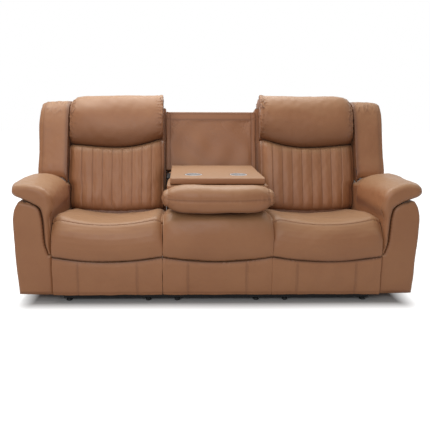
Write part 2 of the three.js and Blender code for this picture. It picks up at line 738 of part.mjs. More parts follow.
function lumbar(innerX, outerX, wideX, channelX) {
  const seams = Array.from({ length: channelCount }, (_, k) =>
    channelX + (k - (channelCount - 1) / 2) * channelPitch);
  const quarter = channelPitch / 4;
  const inside = seams.slice(0, -1).flatMap(x => [x, x + quarter, x + 2 * quarter, x + 3 * quarter]);
  const first = seams[0];
  const last = seams.at(-1);
  const middle = (innerX + outerX) / 2;
  const half = (outerX - innerX) / 2;
  const left = [innerX, lerp(innerX, first, 0.18), lerp(innerX, first, 0.55)];
  const right = [lerp(outerX, last, 0.55), lerp(outerX, last, 0.18), outerX];
  const us = [...left, ...inside, last, ...right];
  const vs = [0, 0.06, 0.2, 0.4, 0.6, 0.8, 0.94, 1];
  const place = (u, v) => {
    const across = clamp((u - middle) / half, -1, 1);
    const bottom = lumbarBottomHeight + lumbarBottomRise * across * across;
    const s = lerp(bottom, creaseS(across) - lumbarTopGap, v);
    const widen = (wideX - outerX) * clamp((s - wingStepHeight) / (2 * overrun) + 0.5, 0, 1);
    return { across, s, x: across > 0 ? u + widen * across ** 8 : u };
  };
  const front = (u, v) => {
    const { across, s, x } = place(u, v);
    const groove = Math.abs(Math.cos(Math.PI * ((u - first) / channelPitch)));
    const inChannels = u > first - touch && u < last + touch && v > 0 && v < 1;
    const sewn = inChannels ? channelDepth * groove ** 3 : 0;
    const roundSide = 1 - 0.55 * Math.abs(across) ** 14;
    const roundEnds = v === 0 ? 0.9 : v === 1 ? 0.93 : 1;
    const deep = (lumbarFrontDepth - frameFrontDepth) * roundSide * roundEnds * (1 - 0.05 * v);
    return lean(x, frameFrontDepth + deep - sewn, s);
  };
  const rear = (u, v) => {
    const { across, x } = place(u, v);
    return lean(x, frameFrontDepth + touch, lerp(lumbarRearHeight, creaseS(across) - lumbarTopGap, v));
  };
  return relief(us, vs, front, rear);
}

// Headrest: a roll that bulges over the lumbar cushion and wraps over the frame's top rail.
const headrestFrontShares = [
  [0.84, 0], [0.965, 0.12], [1, 0.34], [0.985, 0.56], [0.93, 0.76], [0.82, 0.9], [0.66, 0.97],
  [0.42, 1], [0.18, 0.985], [0, 0.9],
];

function headrest(innerX, wideX) {
  const middle = (innerX + wideX) / 2;
  const half = (wideX - innerX) / 2;
  const stations = [-1, -0.97, -0.9, -0.6, -0.2, 0.2, 0.6, 0.9, 0.97, 1];
  const rings = stations.map(u => {
    const bottom = creaseS(u);
    const fall = headrestEndDrop * roundOff((Math.abs(u) - 0.75) / 0.25);
    const front = headrestFrontShares.map(([n, s]) => [
      lerp(frameRearDepth, headrestFrontDepth - fall, n), lerp(bottom, headrestTopHeight - fall, s)]);
    const section = [
      ...front, [frameRearDepth, frameTopHeight + touch], [frameFrontDepth + touch, frameTopHeight + touch],
      [frameFrontDepth + touch, bottom],
    ];
    return section.map(([n, s]) => lean(middle + half * u, n, s));
  });
  return loft(rings, flatX);
}

// Wing: an upholstered block beside the back that clears the arm as the back leans away.
const wingShares = [
  [0, 0.31], [0.15, 0.26], [0.47, 0.13], [0.88, 0.02], [0.98, 0], [1, 0.05], [1, 0.25], [0.985, 0.45],
  [0.95, 0.72], [0.89, 0.87], [0.78, 0.955], [0.6, 0.99], [0.38, 1], [0.2, 0.985], [0.05, 0.95], [0, 0.89],
];
const wingRoundShares = [[0, 0.5], [0.04, 0.17], [0.12, 0], [0.8, 0], [0.93, 0.3], [1, 1]];

function wing(innerX) {
  const rings = wingRoundShares.map(([share, round]) => {
    const ring = wingShares.map(([n, s]) => lean(innerX + wingWidth * share,
      lerp(frameRearDepth, wingFrontDepth, n), lerp(wingBottomHeight, wingTopHeight, s)));
    return inset(ring, wingRound * round);
  });
  return loft(rings, flatX);
}

// Rear cover of a back, with a step that clears the arm below the wing.
function rearCover(innerX, outerX, wideX, bottomS, topS) {
  const corner = 5 * overrun;
  const stepS = lerp(wingBottomHeight, wingTopHeight, wingShares[0][1]);
  const outline = [
    [innerX, bottomS], [outerX, bottomS], [outerX, stepS], [wideX, stepS],
    [wideX, topS - corner], [wideX - corner, topS], [innerX + corner, topS], [innerX, topS - corner],
  ];
  return alongY(outline, -frameRearDepth + touch, -frameRearDepth + touch + rearCoverThickness);
}

// Fixed centre panel with a sewn band along its top and a strip down each side.
function fixedPanel() {
  const half = fixedPanelHalfWidth;
  const innerEdge = half - borderBand;
  const xs = [innerEdge * 0.5, innerEdge - borderSeamDepth, innerEdge, innerEdge + borderSeamDepth,
    half - borderSeamDepth, half];
  const us = [...xs.map(x => -x).reverse(), 0, ...xs];
  const length = fixedPanelTopHeight - fixedPanelBottomHeight;
  const band = 1 - borderBand / length;
  const hem = borderSeamDepth / length;
  const vs = [0, hem, 0.35, 0.7, band - hem, band, band + hem, 1 - hem, 1];
  const front = (u, v) => {
    const edge = Math.abs(u) === half || v === 0 || v === 1;
    const seam = Math.abs(u) === innerEdge || v === band;
    const sink = (edge ? 2 * borderSeamDepth : 0) + (seam && !edge ? borderSeamDepth : 0);
    return lean(u, fixedPanelFrontDepth - sink, lerp(fixedPanelBottomHeight, fixedPanelTopHeight, v));
  };
  const rear = (u, v) => lean(u, centerFrameFrontDepth + touch, lerp(fixedPanelBottomHeight, fixedPanelTopHeight, v));
  return relief(us, vs, front, rear);
}

// Console pieces, in the place where they lie when the back is folded down.
const cushionTopZ = tableTopZ - tableThickness - flangeThickness - 2 * touch;
const cupPlaces = [-1, 1].map(side => side * cupX);

function consoleTable() {
  const [y0, y1, z0, z1] = [tableFrontY, tableRearY, tableTopZ - tableThickness, tableTopZ];
  const outline = [
    [y0, z0 + tableEdge], [y0, z1 - tableEdge], [y0 + tableEdge, z1], [y1 - tableEdge, z1],
    [y1, z1 - tableEdge], [y1, z0 + tableEdge], [y1 - tableEdge, z0], [y0 + tableEdge, z0],
  ];
  const ends = [[-1, tableEdge * 0.7], [-1 + 0.02, 0], [1 - 0.02, 0], [1, tableEdge * 0.7]];
  const rings = ends.map(([share, amount]) =>
    inset(outline.map(([y, z]) => vector(tableHalfWidth * share, y, z)), amount));
  const holes = cupPlaces.map(x =>
    rodZ(cupRadius + running, z0 - overrun, z1 + overrun, x, cupY, cupSides));
  const rebates = cupPlaces.map(x =>
    rodZ(cupFlangeRadius + running, z1 - cupRebate, z1 + overrun, x, cupY, cupSides));
  return cut(loft(rings, flatX), ...holes, ...rebates);
}

function consoleCushion() {
  const [y0, y1] = [tableFrontY + touch, tableRearY - 2 * tableEdge];
  const corner = 3 * tableEdge;
  const under = consoleCushionBottomZ;
  const outline = s => {
    const crown = consoleCushionCrown * (1 - s ** 4);
    return [
      [y0, cushionTopZ], [y0, under + corner], [y0 + corner, under + consoleCushionCrown / 2],
      [lerp(y0, y1, 0.35), under + consoleCushionCrown - crown],
      [lerp(y0, y1, 0.7), under + consoleCushionCrown - crown],
      [y1 - corner, under + consoleCushionCrown / 2], [y1, under + corner], [y1, cushionTopZ],
    ];
  };
  const stations = [-1, -0.97, -0.85, -0.5, 0, 0.5, 0.85, 0.97, 1];
  const rings = stations.map(s => {
    const drawn = tableEdge * roundOff((Math.abs(s) - 0.9) / 0.1);
    return outline(s).map(([y, z]) => vector(consoleCushionHalfWidth * s, y,
      z < lerp(under, cushionTopZ, 0.5) ? z + drawn : z));
  });
  const floor = tableTopZ - cupDepth - pocketClearance;
  const pockets = cupPlaces.map(x =>
    rodZ(cupRadius + running, floor, tableTopZ, x, cupY, cupSides));
  return cut(loft(rings, flatX), ...pockets);
}

// Headrest pillow of the centre back, full in the middle and gathered at its round ends.
const pillowSectionShares = [
  [1, 0.28], [1, 0.55], [0.96, 0.8], [0.8, 0.95], [0.58, 1], [0.36, 0.985], [0.16, 0.9], [0.04, 0.74],
  [0.015, 0.6], [0, 0.54], [0.012, 0.44], [0.06, 0.27], [0.18, 0.12], [0.38, 0.03], [0.62, 0], [0.86, 0.06],
];

function pillow() {
  const rearY = tableFrontY - touch;
  const stations = [-1, -0.975, -0.92, -0.8, -0.55, -0.2, 0.2, 0.55, 0.8, 0.92, 0.975, 1];
  const rings = stations.map(s => {
    const fall = roundOff((Math.abs(s) - 0.5) / 0.5) ** 0.9;
    const depth = lerp(rearY - pillowFrontY, (rearY - pillowFrontY) * 0.38, fall);
    const bottom = pillowBottomZ + (pillowTopZ - pillowBottomZ) * 0.34 * fall;
    const top = pillowTopZ - (pillowTopZ - pillowBottomZ) * 0.24 * fall;
    return pillowSectionShares.map(([y, z]) => vector(pillowHalfWidth * s,
      rearY - depth * (1 - y), lerp(bottom, top, z)));
  });
  return loft(rings, flatX);
}

function cupHolder(x) {
  const rim = tableTopZ - cupRebate + touch;
  const floor = tableTopZ - cupDepth;
  const inside = cupRadius - cupWall;
  const profile = [
    [0, floor], [cupRadius, floor], [cupRadius, rim], [cupFlangeRadius, rim],
    [cupFlangeRadius - cupWall, rim + cupFlangeThickness], [inside, rim + cupFlangeThickness],
    [inside, floor + cupWall], [0, floor + cupWall],
  ].map(([r, z]) => new THREE.Vector2(r, z));
  return new THREE.LatheGeometry(profile, cupSides).rotateX(Math.PI / 2).translate(x, cupY, 0);
}

// Hinge arm: a plate beside the console cushion whose flange lies under the table.
const consoleArmX = consoleCushionHalfWidth + touch + consoleArmGap;

function hingeArm() {
  const x1 = consoleArmX + consoleArmThickness;
  const top = tableTopZ - tableThickness - touch;
  const flangeFrontY = lerp(tableFrontY, tableRearY, 0.45);
  const flangeRearY = lerp(tableFrontY, tableRearY, 0.8);
  const web = [
    [consolePivot.y + consoleLugRadius * 0.6, consolePivot.z - consoleLugRadius * 0.8],
    [consolePivot.y + consoleLugRadius * 0.9, top - consoleLugRadius],
    [flangeRearY, top], [flangeFrontY, top], [flangeFrontY, top - consoleLugRadius],
    [consolePivot.y - consoleLugRadius * neckShare, consolePivot.z],
  ];
  return join(
    alongX(web, consoleArmX, x1),
    rodX(consoleLugRadius, consoleArmX, x1, consolePivot, 20),
    brick(consoleCushionHalfWidth - flangeReach, x1, flangeFrontY, flangeRearY, top - flangeThickness, top),
    rodX(hingePinRadius, x1 - touch, consoleBracketX + consoleBracketThickness + touch, consolePivot, 20));
}

// Hinge bracket: bolted to the side of the centre back frame and reaching forward to the pivot.
const consoleBracketX = consoleArmX + consoleArmThickness + touch;

function hingeBracket() {
  const offsetY = consolePivot.y - hinge.y;
  const offsetZ = consolePivot.z - hinge.z;
  const pivotN = -offsetY * Math.cos(backLean) + offsetZ * Math.sin(backLean);
  const pivotS = offsetY * Math.sin(backLean) + offsetZ * Math.cos(backLean);
  const pivot = { y: -pivotN, z: pivotS };
  const foot = consoleLugRadius * 3;
  const plate = [
    [pivot.y, pivot.z - consoleLugRadius * neckShare], [-centerFrameFrontDepth, pivot.z - foot],
    [-frameRearDepth - consoleLugRadius, pivot.z - foot], [-frameRearDepth - consoleLugRadius, pivot.z + foot],
    [-centerFrameFrontDepth, pivot.z + foot], [pivot.y, pivot.z + consoleLugRadius * neckShare],
  ];
  const x1 = consoleBracketX + consoleBracketThickness;
  const body = join(alongX(plate, consoleBracketX, x1), rodX(consoleLugRadius, consoleBracketX, x1, pivot, 20));
  return cut(body, rodX(hingePinRadius + running, consoleBracketX - overrun, x1 + overrun, pivot, 20));
}

// Arm pad: a rounded saddle with an outer lip, whose tongue flows down the front of the arm.
const padShares = [
  [0.005, 0.4], [0.005, 0.647], [0.004, 0.715], [-0.08, 0.796], [-0.042, 0.874], [0.099, 0.939],
  [0.319, 0.981], [0.6, 1], [0.859, 0.987], [0.99, 0.951], [0.953, 0.906], [0.756, 0.874], [0.437, 0.835],
  [0.258, 0.795], [0.202, 0.728], [0.178, 0.602], [0.155, 0.485], [0.07, 0.4],
];
const armInnerX = outerSeatWidth / 2 + armGap;
const armFullWidth = armWidth + armLip;
const padFloorShare = 0.03;
const padFloorZ = padBottomZ - (padBottomZ - armTopZ * padShares[0][1]) * padFloorShare;

function armPad() {
  const tongueBottomZ = armTopZ * padShares[0][1];
  const padLength = armRearY - padFrontY;
  const stations = [
    { y: padFrontY, wide: 0.8, low: padFrontRound, tongue: true },
    { y: padFrontY + padFrontRound * 0.3, wide: 0.87, low: padFrontRound * 0.46, tongue: true },
    { y: padFrontY + padFrontRound, wide: 0.94, low: padFrontRound * 0.12, tongue: true },
    { y: tongueRearY, wide: 0.985, low: 0, tongue: true },
    { y: tongueRearY + tongueStep, wide: 0.987, low: 0 }, { y: padFrontY + padLength * 0.16, wide: 1, low: 0 },
    { y: padDropStartY - 3 * consoleLugRadius, wide: 1, low: 0 }, { y: padDropStartY, wide: 1, low: 0 },
    { y: padDropStartY + 2 * consoleLugRadius, wide: 1, low: 0 },
    { y: armRearY - panelRound * 0.67, wide: 0.99, low: 0 },
    { y: armRearY, wide: 0.95, low: 0 },
  ];
  const rings = stations.map(({ y, wide, low, tongue }) => {
    const behind = clamp((y - padDropStartY) / (armRearY - padDropStartY), 0, 1);
    const drop = low + padRearDrop * behind ** padInnerFade;
    const innerBulge = y <= padDropStartY ? 1 : 0;
    return padShares.map(([across, up]) => {
      const share = across < 0 ? across * innerBulge + 0.005 * (1 - innerBulge) : across * wide;
      const z = armTopZ * up;
      const squeezed = z < padBottomZ && !tongue ? padBottomZ - (padBottomZ - z) * padFloorShare : z;
      const fall = drop * clamp((squeezed - padBottomZ) / (armTopZ - padBottomZ), 0, 1);
      return vector(armInnerX + armFullWidth * share, y, squeezed - fall - (z <= tongueBottomZ ? -low / 2 : 0));
    });
  });
  return loft(rings, flatY);
}

// Arm panel: the upholstered box below the pad, bulging a little on its outer side.
const panelShares = [
  [0, 0], [0.93, 0.003], [0.958, 0.19], [0.984, 0.42], [1, 0.606], [0.983, 0.71], [0.914, 0.796],
  [0.813, 0.846],
];

function armPanel() {
  const height = armTopZ - armBottomZ;
  const outerSide = panelShares.map(([across, up]) => [armWidth * across, armBottomZ + height * up]);
  const border = padShares.slice(12).map(([across, up]) =>
    [armFullWidth * across + armCrease, armTopZ * up - armCrease]);
  const last = border.length - 1;
  const stations = [
    { y: armFrontY, round: panelRound, tongue: true },
    { y: armFrontY + panelRound * 0.42, round: panelRound / 3, tongue: true },
    { y: armFrontY + panelRound * 1.2, round: 0, tongue: true },
    { y: tongueRearY + 2 * tongueStep, round: 0, tongue: true },
    { y: tongueRearY + 3 * tongueStep, round: 0 },
    { y: armRearY - panelRound * 0.67, round: 0 }, { y: armRearY, round: panelRound / 2 },
  ];
  const rings = stations.map(({ y, round, tongue }) => {
    const edge = border.map(([x, z], k) => {
      const lowZ = padFloorZ - 3 * touch + (last - k) * borderStep;
      return [x, !tongue && z < padBottomZ ? Math.max(z, lowZ) : z];
    });
    const innerTop = [armWidth * panelShares[0][0], edge[last][1] - borderStep];
    const behind = clamp((y - padDropStartY) / (armRearY - padDropStartY), 0, 1);
    const drop = padRearDrop * behind ** padInnerFade;
    const ring = [...outerSide, ...edge, innerTop].map(([x, z]) => {
      const fall = drop * clamp((z - padBottomZ) / (armTopZ - padBottomZ), 0, 1);
      return vector(armInnerX + x, y, z - fall);
    });
    return inset(ring, round);
  });
  return loft(rings, flatY);
}

// Release cup: a bezel on the arm's outer face round a pocket, with a flap handle hinged inside.
const releaseFaceX = armInnerX + armWidth + touch;
const pocketRearX = releaseFaceX - pocketDepth;

function releaseCup() {
  const [y0, y1] = [releaseY - pocketLength / 2, releaseY + pocketLength / 2];
  const [z0, z1] = [releaseZ - pocketHeight / 2, releaseZ + pocketHeight / 2];
  const shell = join(
    brick(pocketRearX, releaseFaceX, y0 - pocketWall, y1 + pocketWall, z0 - pocketWall, z1 + pocketWall),
    brick(releaseFaceX - touch, releaseFaceX + bezelThickness, y0 - bezel, y1 + bezel, z0 - bezel, z1 + bezel));
  const hollow = brick(pocketRearX + pocketWall, releaseFaceX + bezelThickness + overrun, y0, y1, z0, z1);
  const barrel = handleBarrelPlace();
  const bore = rodZ(handlePinRadius + running, z0 - pocketWall * 0.7, z1 + pocketWall * 0.7, barrel.x, barrel.y);
  return cut(shell, hollow, bore);
}

function handleBarrelPlace() {
  return {
    x: releaseFaceX + bezelThickness - handleBarrelRadius - handleInset,
    y: releaseY - pocketLength / 2 + handleBarrelRadius + pocketWall,
  };
}

function releaseHandle() {
  const { x, y } = handleBarrelPlace();
  const [z0, z1] = [releaseZ - pocketHeight / 2 + touch, releaseZ + pocketHeight / 2 - touch];
  const grip = handleThickness * 2;
  return join(
    rodZ(handleBarrelRadius, z0, z1, x, y),
    brick(x - handleThickness / 2, x + handleThickness / 2, y, y + handleLength, z0 + touch, z1 - touch),
    brick(x - grip, x + handleThickness / 2, y + handleLength - handleThickness, y + handleLength,
      z0 + touch, z1 - touch),
    rodZ(handlePinRadius, z0 - pocketWall / 2, z1 + pocketWall / 2, x, y));
}

// Where the arm panel gives way to the release cup.
function releaseRecess() {
  const [dy, dz] = [pocketLength / 2 + pocketWall + touch, pocketHeight / 2 + pocketWall + touch];
  const [by, bz] = [pocketLength / 2 + bezel + touch, pocketHeight / 2 + bezel + touch];
  return [
    brick(pocketRearX - touch, releaseFaceX + overrun, releaseY - dy, releaseY + dy, releaseZ - dz, releaseZ + dz),
    brick(releaseFaceX - 2 * touch, releaseFaceX + overrun, releaseY - by, releaseY + by,
      releaseZ - bz, releaseZ + bz),
  ];
}

// Assembly. Outer modules are modelled on the right and mirrored to the left.
const backInnerX = backSideGap - outerSeatWidth / 2;
const backOuterX = outerSeatWidth / 2;
const backWideX = outerSeatWidth / 2 + backOverhang;
const wingInnerX = backWideX + backSideGap;

function group(x, y, z, turn = 0) {
  const node = new THREE.Group();
  node.position.set(x, y, z);
  node.rotation.x = turn;
  sofa.add(node);
  return node;
}

for (const [label, side] of [['left', -1], ['right', 1]]) {
  const handed = geometry => (side < 0 ? mirror(geometry) : geometry);
  const module = group(side * outerCenterX, 0, 0);
  const back = group(side * outerCenterX, hinge.y, hinge.z, -backLean);
  const place = (name, geometry, material, parent = module) =>
    add(`${label}_${name}`, handed(geometry), material, parent);

  place('base_frame', baseFrame(true), blackSteel);
  place('seat_frame', seatFrame(true), blackSteel);
  place('spring_deck', springDeck(), zincSteel);
  place('seat_cushion', seatCushion(outerSeatWidth, true), leather);
  place('front_pad', frontPad(outerSeatWidth), leather);
  place('lower_panel', lowerPanel(outerSeatWidth), leather);
  place('leg_rest_board', legRestBoard(true), plywood);
  place('thigh_link', thighLink(), zincSteel);
  place('shin_link', shinLink(), zincSteel);
  place('control_link', controlLink(), zincSteel);

  place('back_frame',
    backFrame(backInnerX, backOuterX, backWideX, frameTopHeight, frameFrontDepth, 3), plywood, back);
  place('lumbar_cushion',
    lumbar(backInnerX, backOuterX, backWideX, channelShift), leather, back);
  place('headrest', headrest(backInnerX, backWideX), leather, back);
  place('wing', wing(wingInnerX), leather, back);
  place('rear_cover', rearCover(backInnerX, backOuterX, wingInnerX + wingWidth - 5 * overrun,
    -overrun, frameTopHeight + 2 * overrun), leather, back);

  place('arm_panel', cut(armPanel(), ...releaseRecess()), leather);
  place('arm_pad', armPad(), leather);
  place('release_cup', releaseCup(), blackPlastic);
  place('release_handle', releaseHandle(), blackPlastic);

  const skirtHalf = outerSeatWidth / 2 - seamGap;
  place('rear_skirt', brick(-skirtHalf, skirtHalf, baseRearY, baseRearY + skirtThickness,
    upholsteryClearance, skirtTopZ), leather);
}

const center = group(0, 0, 0);
const centerBack = group(0, hinge.y, hinge.z, -backLean);
const centerBackHalf = consoleBracketX - touch;
add('center_base_frame', baseFrame(false), blackSteel, center);
add('center_seat_frame', seatFrame(false), blackSteel, center);
add('center_spring_deck', springDeck(), zincSteel, center);
add('center_seat_cushion', seatCushion(centerSeatWidth, false), leather, center);
add('center_front_pad', frontPad(centerSeatWidth), leather, center);
add('center_lower_panel', lowerPanel(centerSeatWidth), leather, center);
add('center_front_board', legRestBoard(false), plywood, center);
add('center_rear_skirt', brick(seamGap - centerSeatWidth / 2, centerSeatWidth / 2 - seamGap, baseRearY,
  baseRearY + skirtThickness, upholsteryClearance, skirtTopZ), leather, center);
add('center_back_frame', backFrame(-centerBackHalf, centerBackHalf, centerBackHalf, centerFrameTopHeight,
  centerFrameFrontDepth, 3), plywood, centerBack);
add('center_back_panel', fixedPanel(), leather, centerBack);
const coverHalf = centerSeatWidth / 2 + centerCoverOverhang;
add('center_rear_cover', rearCover(-coverHalf, coverHalf, coverHalf, -overrun, fixedPanelTopHeight), leather,
  centerBack);

add('console_table', consoleTable(), leather);
add('console_cushion', consoleCushion(), leather);
add('console_pillow', pillow(), leather);
add('left_cup_holder', cupHolder(-cupX), stainless);
add('right_cup_holder', cupHolder(cupX), stainless);
add('left_hinge_arm', mirror(hingeArm()), blackSteel);
add('right_hinge_arm', hingeArm(), blackSteel);
add('left_hinge_bracket', mirror(hingeBracket()), blackSteel, centerBack);
add('right_hinge_bracket', hingeBracket(), blackSteel, centerBack);

// Moves the sofa so that the origin is the middle of its footprint.
sofa.updateMatrixWorld(true);
const footprint = new THREE.Box3().setFromObject(sofa, true);
sofa.position.y = -(footprint.min.y + footprint.max.y) / 2;
sofa.updateMatrixWorld(true);

export default sofa;
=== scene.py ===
"""Three seat reclining sofa in tan leather, with a centre back that folds down as a console.

Every soft piece is a surface worked out with numpy in millimetres, counted from the front of the
lower panels, and moved into the row frame when its mesh is made. The steelwork, the plywood and
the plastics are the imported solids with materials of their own.
"""

from __future__ import annotations

import json
import logging
import math
from dataclasses import dataclass
from enum import Enum
from typing import Callable, Sequence

import bpy
import numpy as np
from mathutils import Matrix, Vector

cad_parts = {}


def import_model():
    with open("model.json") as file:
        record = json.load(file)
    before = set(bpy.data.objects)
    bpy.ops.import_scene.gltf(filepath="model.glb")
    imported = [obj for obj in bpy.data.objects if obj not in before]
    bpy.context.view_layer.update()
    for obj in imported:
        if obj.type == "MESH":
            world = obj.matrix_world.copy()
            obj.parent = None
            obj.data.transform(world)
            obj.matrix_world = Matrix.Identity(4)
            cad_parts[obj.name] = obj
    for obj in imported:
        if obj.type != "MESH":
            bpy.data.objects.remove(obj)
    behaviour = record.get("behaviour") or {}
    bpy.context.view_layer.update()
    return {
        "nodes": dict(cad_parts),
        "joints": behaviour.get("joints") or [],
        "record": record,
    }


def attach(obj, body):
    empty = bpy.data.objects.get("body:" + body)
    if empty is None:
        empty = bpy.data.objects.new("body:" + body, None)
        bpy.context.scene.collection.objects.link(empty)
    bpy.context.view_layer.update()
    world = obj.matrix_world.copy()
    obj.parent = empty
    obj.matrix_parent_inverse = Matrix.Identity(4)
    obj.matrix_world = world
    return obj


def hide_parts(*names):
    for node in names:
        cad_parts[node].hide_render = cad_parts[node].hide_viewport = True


LOG = logging.getLogger("sofa")
Array = np.ndarray
Placer = Callable[[Array, Array, Array], Array]
MM = 0.001
# Millimetres between the middles of two seats.
SEAT_PITCH = 563.0
# A distance in millimetres at which no seam shows.
NOWHERE = 99.0


class Side(Enum):
    """Which seat a piece belongs to, as seen from the front."""

    LEFT = -1
    CENTER = 0
    RIGHT = 1

    @property
    def word(self) -> str:
        """The prefix of the side's node names."""
        return self.name.lower()

    @property
    def hand(self) -> int:
        """The sign that mirrors a right hand piece to this side."""
        return -1 if self is Side.LEFT else 1


class Slot(Enum):
    """The record's material slots."""

    LEATHER = "leather"
    BLACK_STEEL = "black_steel"
    ZINC_STEEL = "zinc_steel"
    STAINLESS = "stainless_steel"
    PLYWOOD = "plywood"
    PLASTIC = "black_plastic"


def upright(x: Array, y: Array, z: Array) -> Array:
    """Points from their three axes, any of which may be plain numbers."""
    return np.stack(np.broadcast_arrays(x, y, z), -1)


@dataclass(frozen=True)
class Datum:
    """The frame that the sizes are counted in, against the row frame.

    Attributes:
        front_y: Row Y of the front of the lower panels, in metres.
        hinge_y: The backs' hinge, in millimetres behind those panels.
        hinge_z: Its height, in millimetres.
        lean_deg: How far the backs lean.
    """

    front_y: float
    hinge_y: float = 640.0
    hinge_z: float = 330.0
    lean_deg: float = 14.5

    def row(self, points: Array) -> Array:
        """Millimetres from the front panels to metres in the row frame."""
        return points * MM + np.array([0.0, self.front_y, 0.0])

    def leaning(self, x: Array, n: Array, s: Array) -> Array:
        """A back's own place, n forward and s up along it from the hinge, in millimetres."""
        lean = math.radians(self.lean_deg)
        y = self.hinge_y - n * math.cos(lean) + s * math.sin(lean)
        return upright(x, y, self.hinge_z + n * math.sin(lean) + s * math.cos(lean))


def lerp(a: Array | float, b: Array | float, t: Array | float) -> Array:
    """The value a share t of the way from a to b."""
    return a + (b - a) * t


def share_between(x: Array, low: float, high: float) -> Array:
    """Where x lies between two values, from -1 to 1."""
    return (x - (low + high) / 2) / ((high - low) / 2)


def round_off(t: Array | float) -> Array:
    """How far a quarter-round edge has fallen at a share t of its width: 1 - sqrt(1 - t squared)."""
    return 1 - np.sqrt(1 - np.clip(t, 0, 1) ** 2)


def bell(distance: Array, width: float) -> Array:
    """A smooth hump: e to the minus (distance / width) squared."""
    return np.exp(-((distance / width) ** 2))


def waves(points: Array, seed: int, wavelength: float, stretch: Sequence[float] = (1, 1, 1)) -> Array:
    """Smooth noise: a sum of plane waves in random directions and of nearly one wavelength.

    Args:
        points: Places in millimetres, in the last axis.
        seed: Fixes the directions and phases.
        wavelength: Typical distance between crests, in millimetres.
        stretch: How much longer the waves are along X, Y and Z.

    Returns:
        Noise with a mean of 0 and a spread of about 1.
    """
    count = 26
    rng = np.random.default_rng(seed)
    heading = rng.normal(size=(count, 3))
    heading /= np.linalg.norm(heading, axis=1, keepdims=True)
    number = 2 * math.pi / (wavelength * rng.uniform(0.7, 1.45, (count, 1)))
    number = heading * number / np.asarray(stretch, float)
    phase = rng.uniform(0, 2 * math.pi, count)
    return np.cos(points @ number.T + phase).sum(-1) / math.sqrt(count / 2)


def fold_lines(
    points: Array, seed: int, wavelength: float, width: float, stretch: Sequence[float] = (1, 1, 1)
) -> Array:
    """Thin lines, as leather folds make: a bell around the places where the noise is zero."""
    return bell(waves(points, seed, wavelength, stretch), width)


def smooth_step(a: float, b: float, x: Array) -> Array:
    """0 below a, 1 above b, and 3t squared - 2t cubed between them."""
    t = np.clip((x - a) / (b - a), 0, 1)
    return t * t * (3 - 2 * t)


def stations(half: float, count: int, crowding: float = 0.8) -> Array:
    """Places from -half to half that crowd towards both ends as a sine does."""
    t = np.linspace(-1, 1, count)
    return half * lerp(t, np.sin(t * math.pi / 2), crowding)


def corner_loop(along: Array, corners: Sequence[tuple[Array, Array]]) -> Array:
    """Sections (along, corners, 2) from corners that are plain numbers or vary along the piece."""
    return np.stack([np.stack(np.broadcast_arrays(a, b, along)[:2], -1) for a, b in corners], 1)


def curve(corners: Sequence[tuple[float, float]], parts: int = 4, scale: Sequence[float] = (1, 1)) -> Array:
    """A smooth line through corners: each step between two of them becomes a few short ones.

    Each step is a cubic whose end slopes are the neighbouring steps' slopes, weighted by length.

    Args:
        corners: Places, from the line's first to its last.
        parts: Steps that each one becomes, so corner k of the result is at index k * parts.
        scale: What the two axes are worth in millimetres when lengths are compared.

    Returns:
        The places, with both ends.
    """
    p = np.asarray(corners, float)
    step = np.diff(p, axis=0)
    length = np.linalg.norm(step * scale, axis=1)[:, None]
    slope = step / length
    inner = (slope[:-1] * length[1:] + slope[1:] * length[:-1]) / (length[1:] + length[:-1])
    tangent = np.concatenate([slope[:1], inner, slope[-1:]])
    u = (np.arange(parts) / parts)[:, None, None]
    start, end = tangent[:-1] * length, tangent[1:] * length
    line = (
        p[:-1] * (2 * u**3 - 3 * u**2 + 1) + p[1:] * (3 * u**2 - 2 * u**3)
        + start * (u**3 - 2 * u**2 + u) + end * (u**3 - u**2)
    )
    return np.concatenate([line.transpose(1, 0, 2).reshape(-1, 2), p[-1:]])


def pick(values: Array, index: Array) -> Array:
    """Values at fractional indices, by straight interpolation."""
    low = np.clip(np.floor(index).astype(int), 0, len(values) - 2)
    return lerp(values[low], values[low + 1], (index - low)[:, None])


def dense(
    outline: Array, count: int, softness: float, lead: int | None = None
) -> tuple[Array, Array, Array]:
    """Resamples closed outlines evenly along their length and softens their corners.

    The outline is walked at even steps, then blurred round the loop by a Gaussian, which is a
    product with a Gaussian among its Fourier terms.

    Args:
        outline: Corners, as (sections, corners, 2), in millimetres.
        count: Points in each loop.
        softness: The blur's spread in millimetres, about two thirds of a corner's radius.
        lead: A section whose even steps all the others follow, corner by corner.

    Returns:
        The loops (sections, count, 2), each point's distance along its loop (sections, count), and
        each corner's distance along it, with the whole length last (sections, corners + 1).
    """
    closed = np.concatenate([outline, outline[:, :1]], 1)
    steps = np.linalg.norm(np.diff(closed, axis=1), axis=2)
    marks = np.concatenate([np.zeros((len(outline), 1)), np.cumsum(steps, 1)], 1)
    share = np.arange(count) / count
    arc = marks[:, -1:] * share
    length = marks[:, -1]
    if lead is not None:
        turn = np.interp(length[lead] * share, marks[lead], np.arange(marks.shape[1]))
        arc = pick(marks.T, turn).T
        length = np.full(len(marks), length[lead])
    both = [[np.interp(a, m, c[:, axis]) for axis in (0, 1)] for a, m, c in zip(arc, marks, closed)]
    terms = np.fft.rfft(np.moveaxis(np.array(both), 1, 2), axis=1)
    spread = softness * count / length
    pitch = np.fft.rfftfreq(count)
    terms *= np.exp(-2 * (math.pi * pitch[None, :, None] * spread[:, None, None]) ** 2)
    return np.fft.irfft(terms, count, axis=1), arc, marks


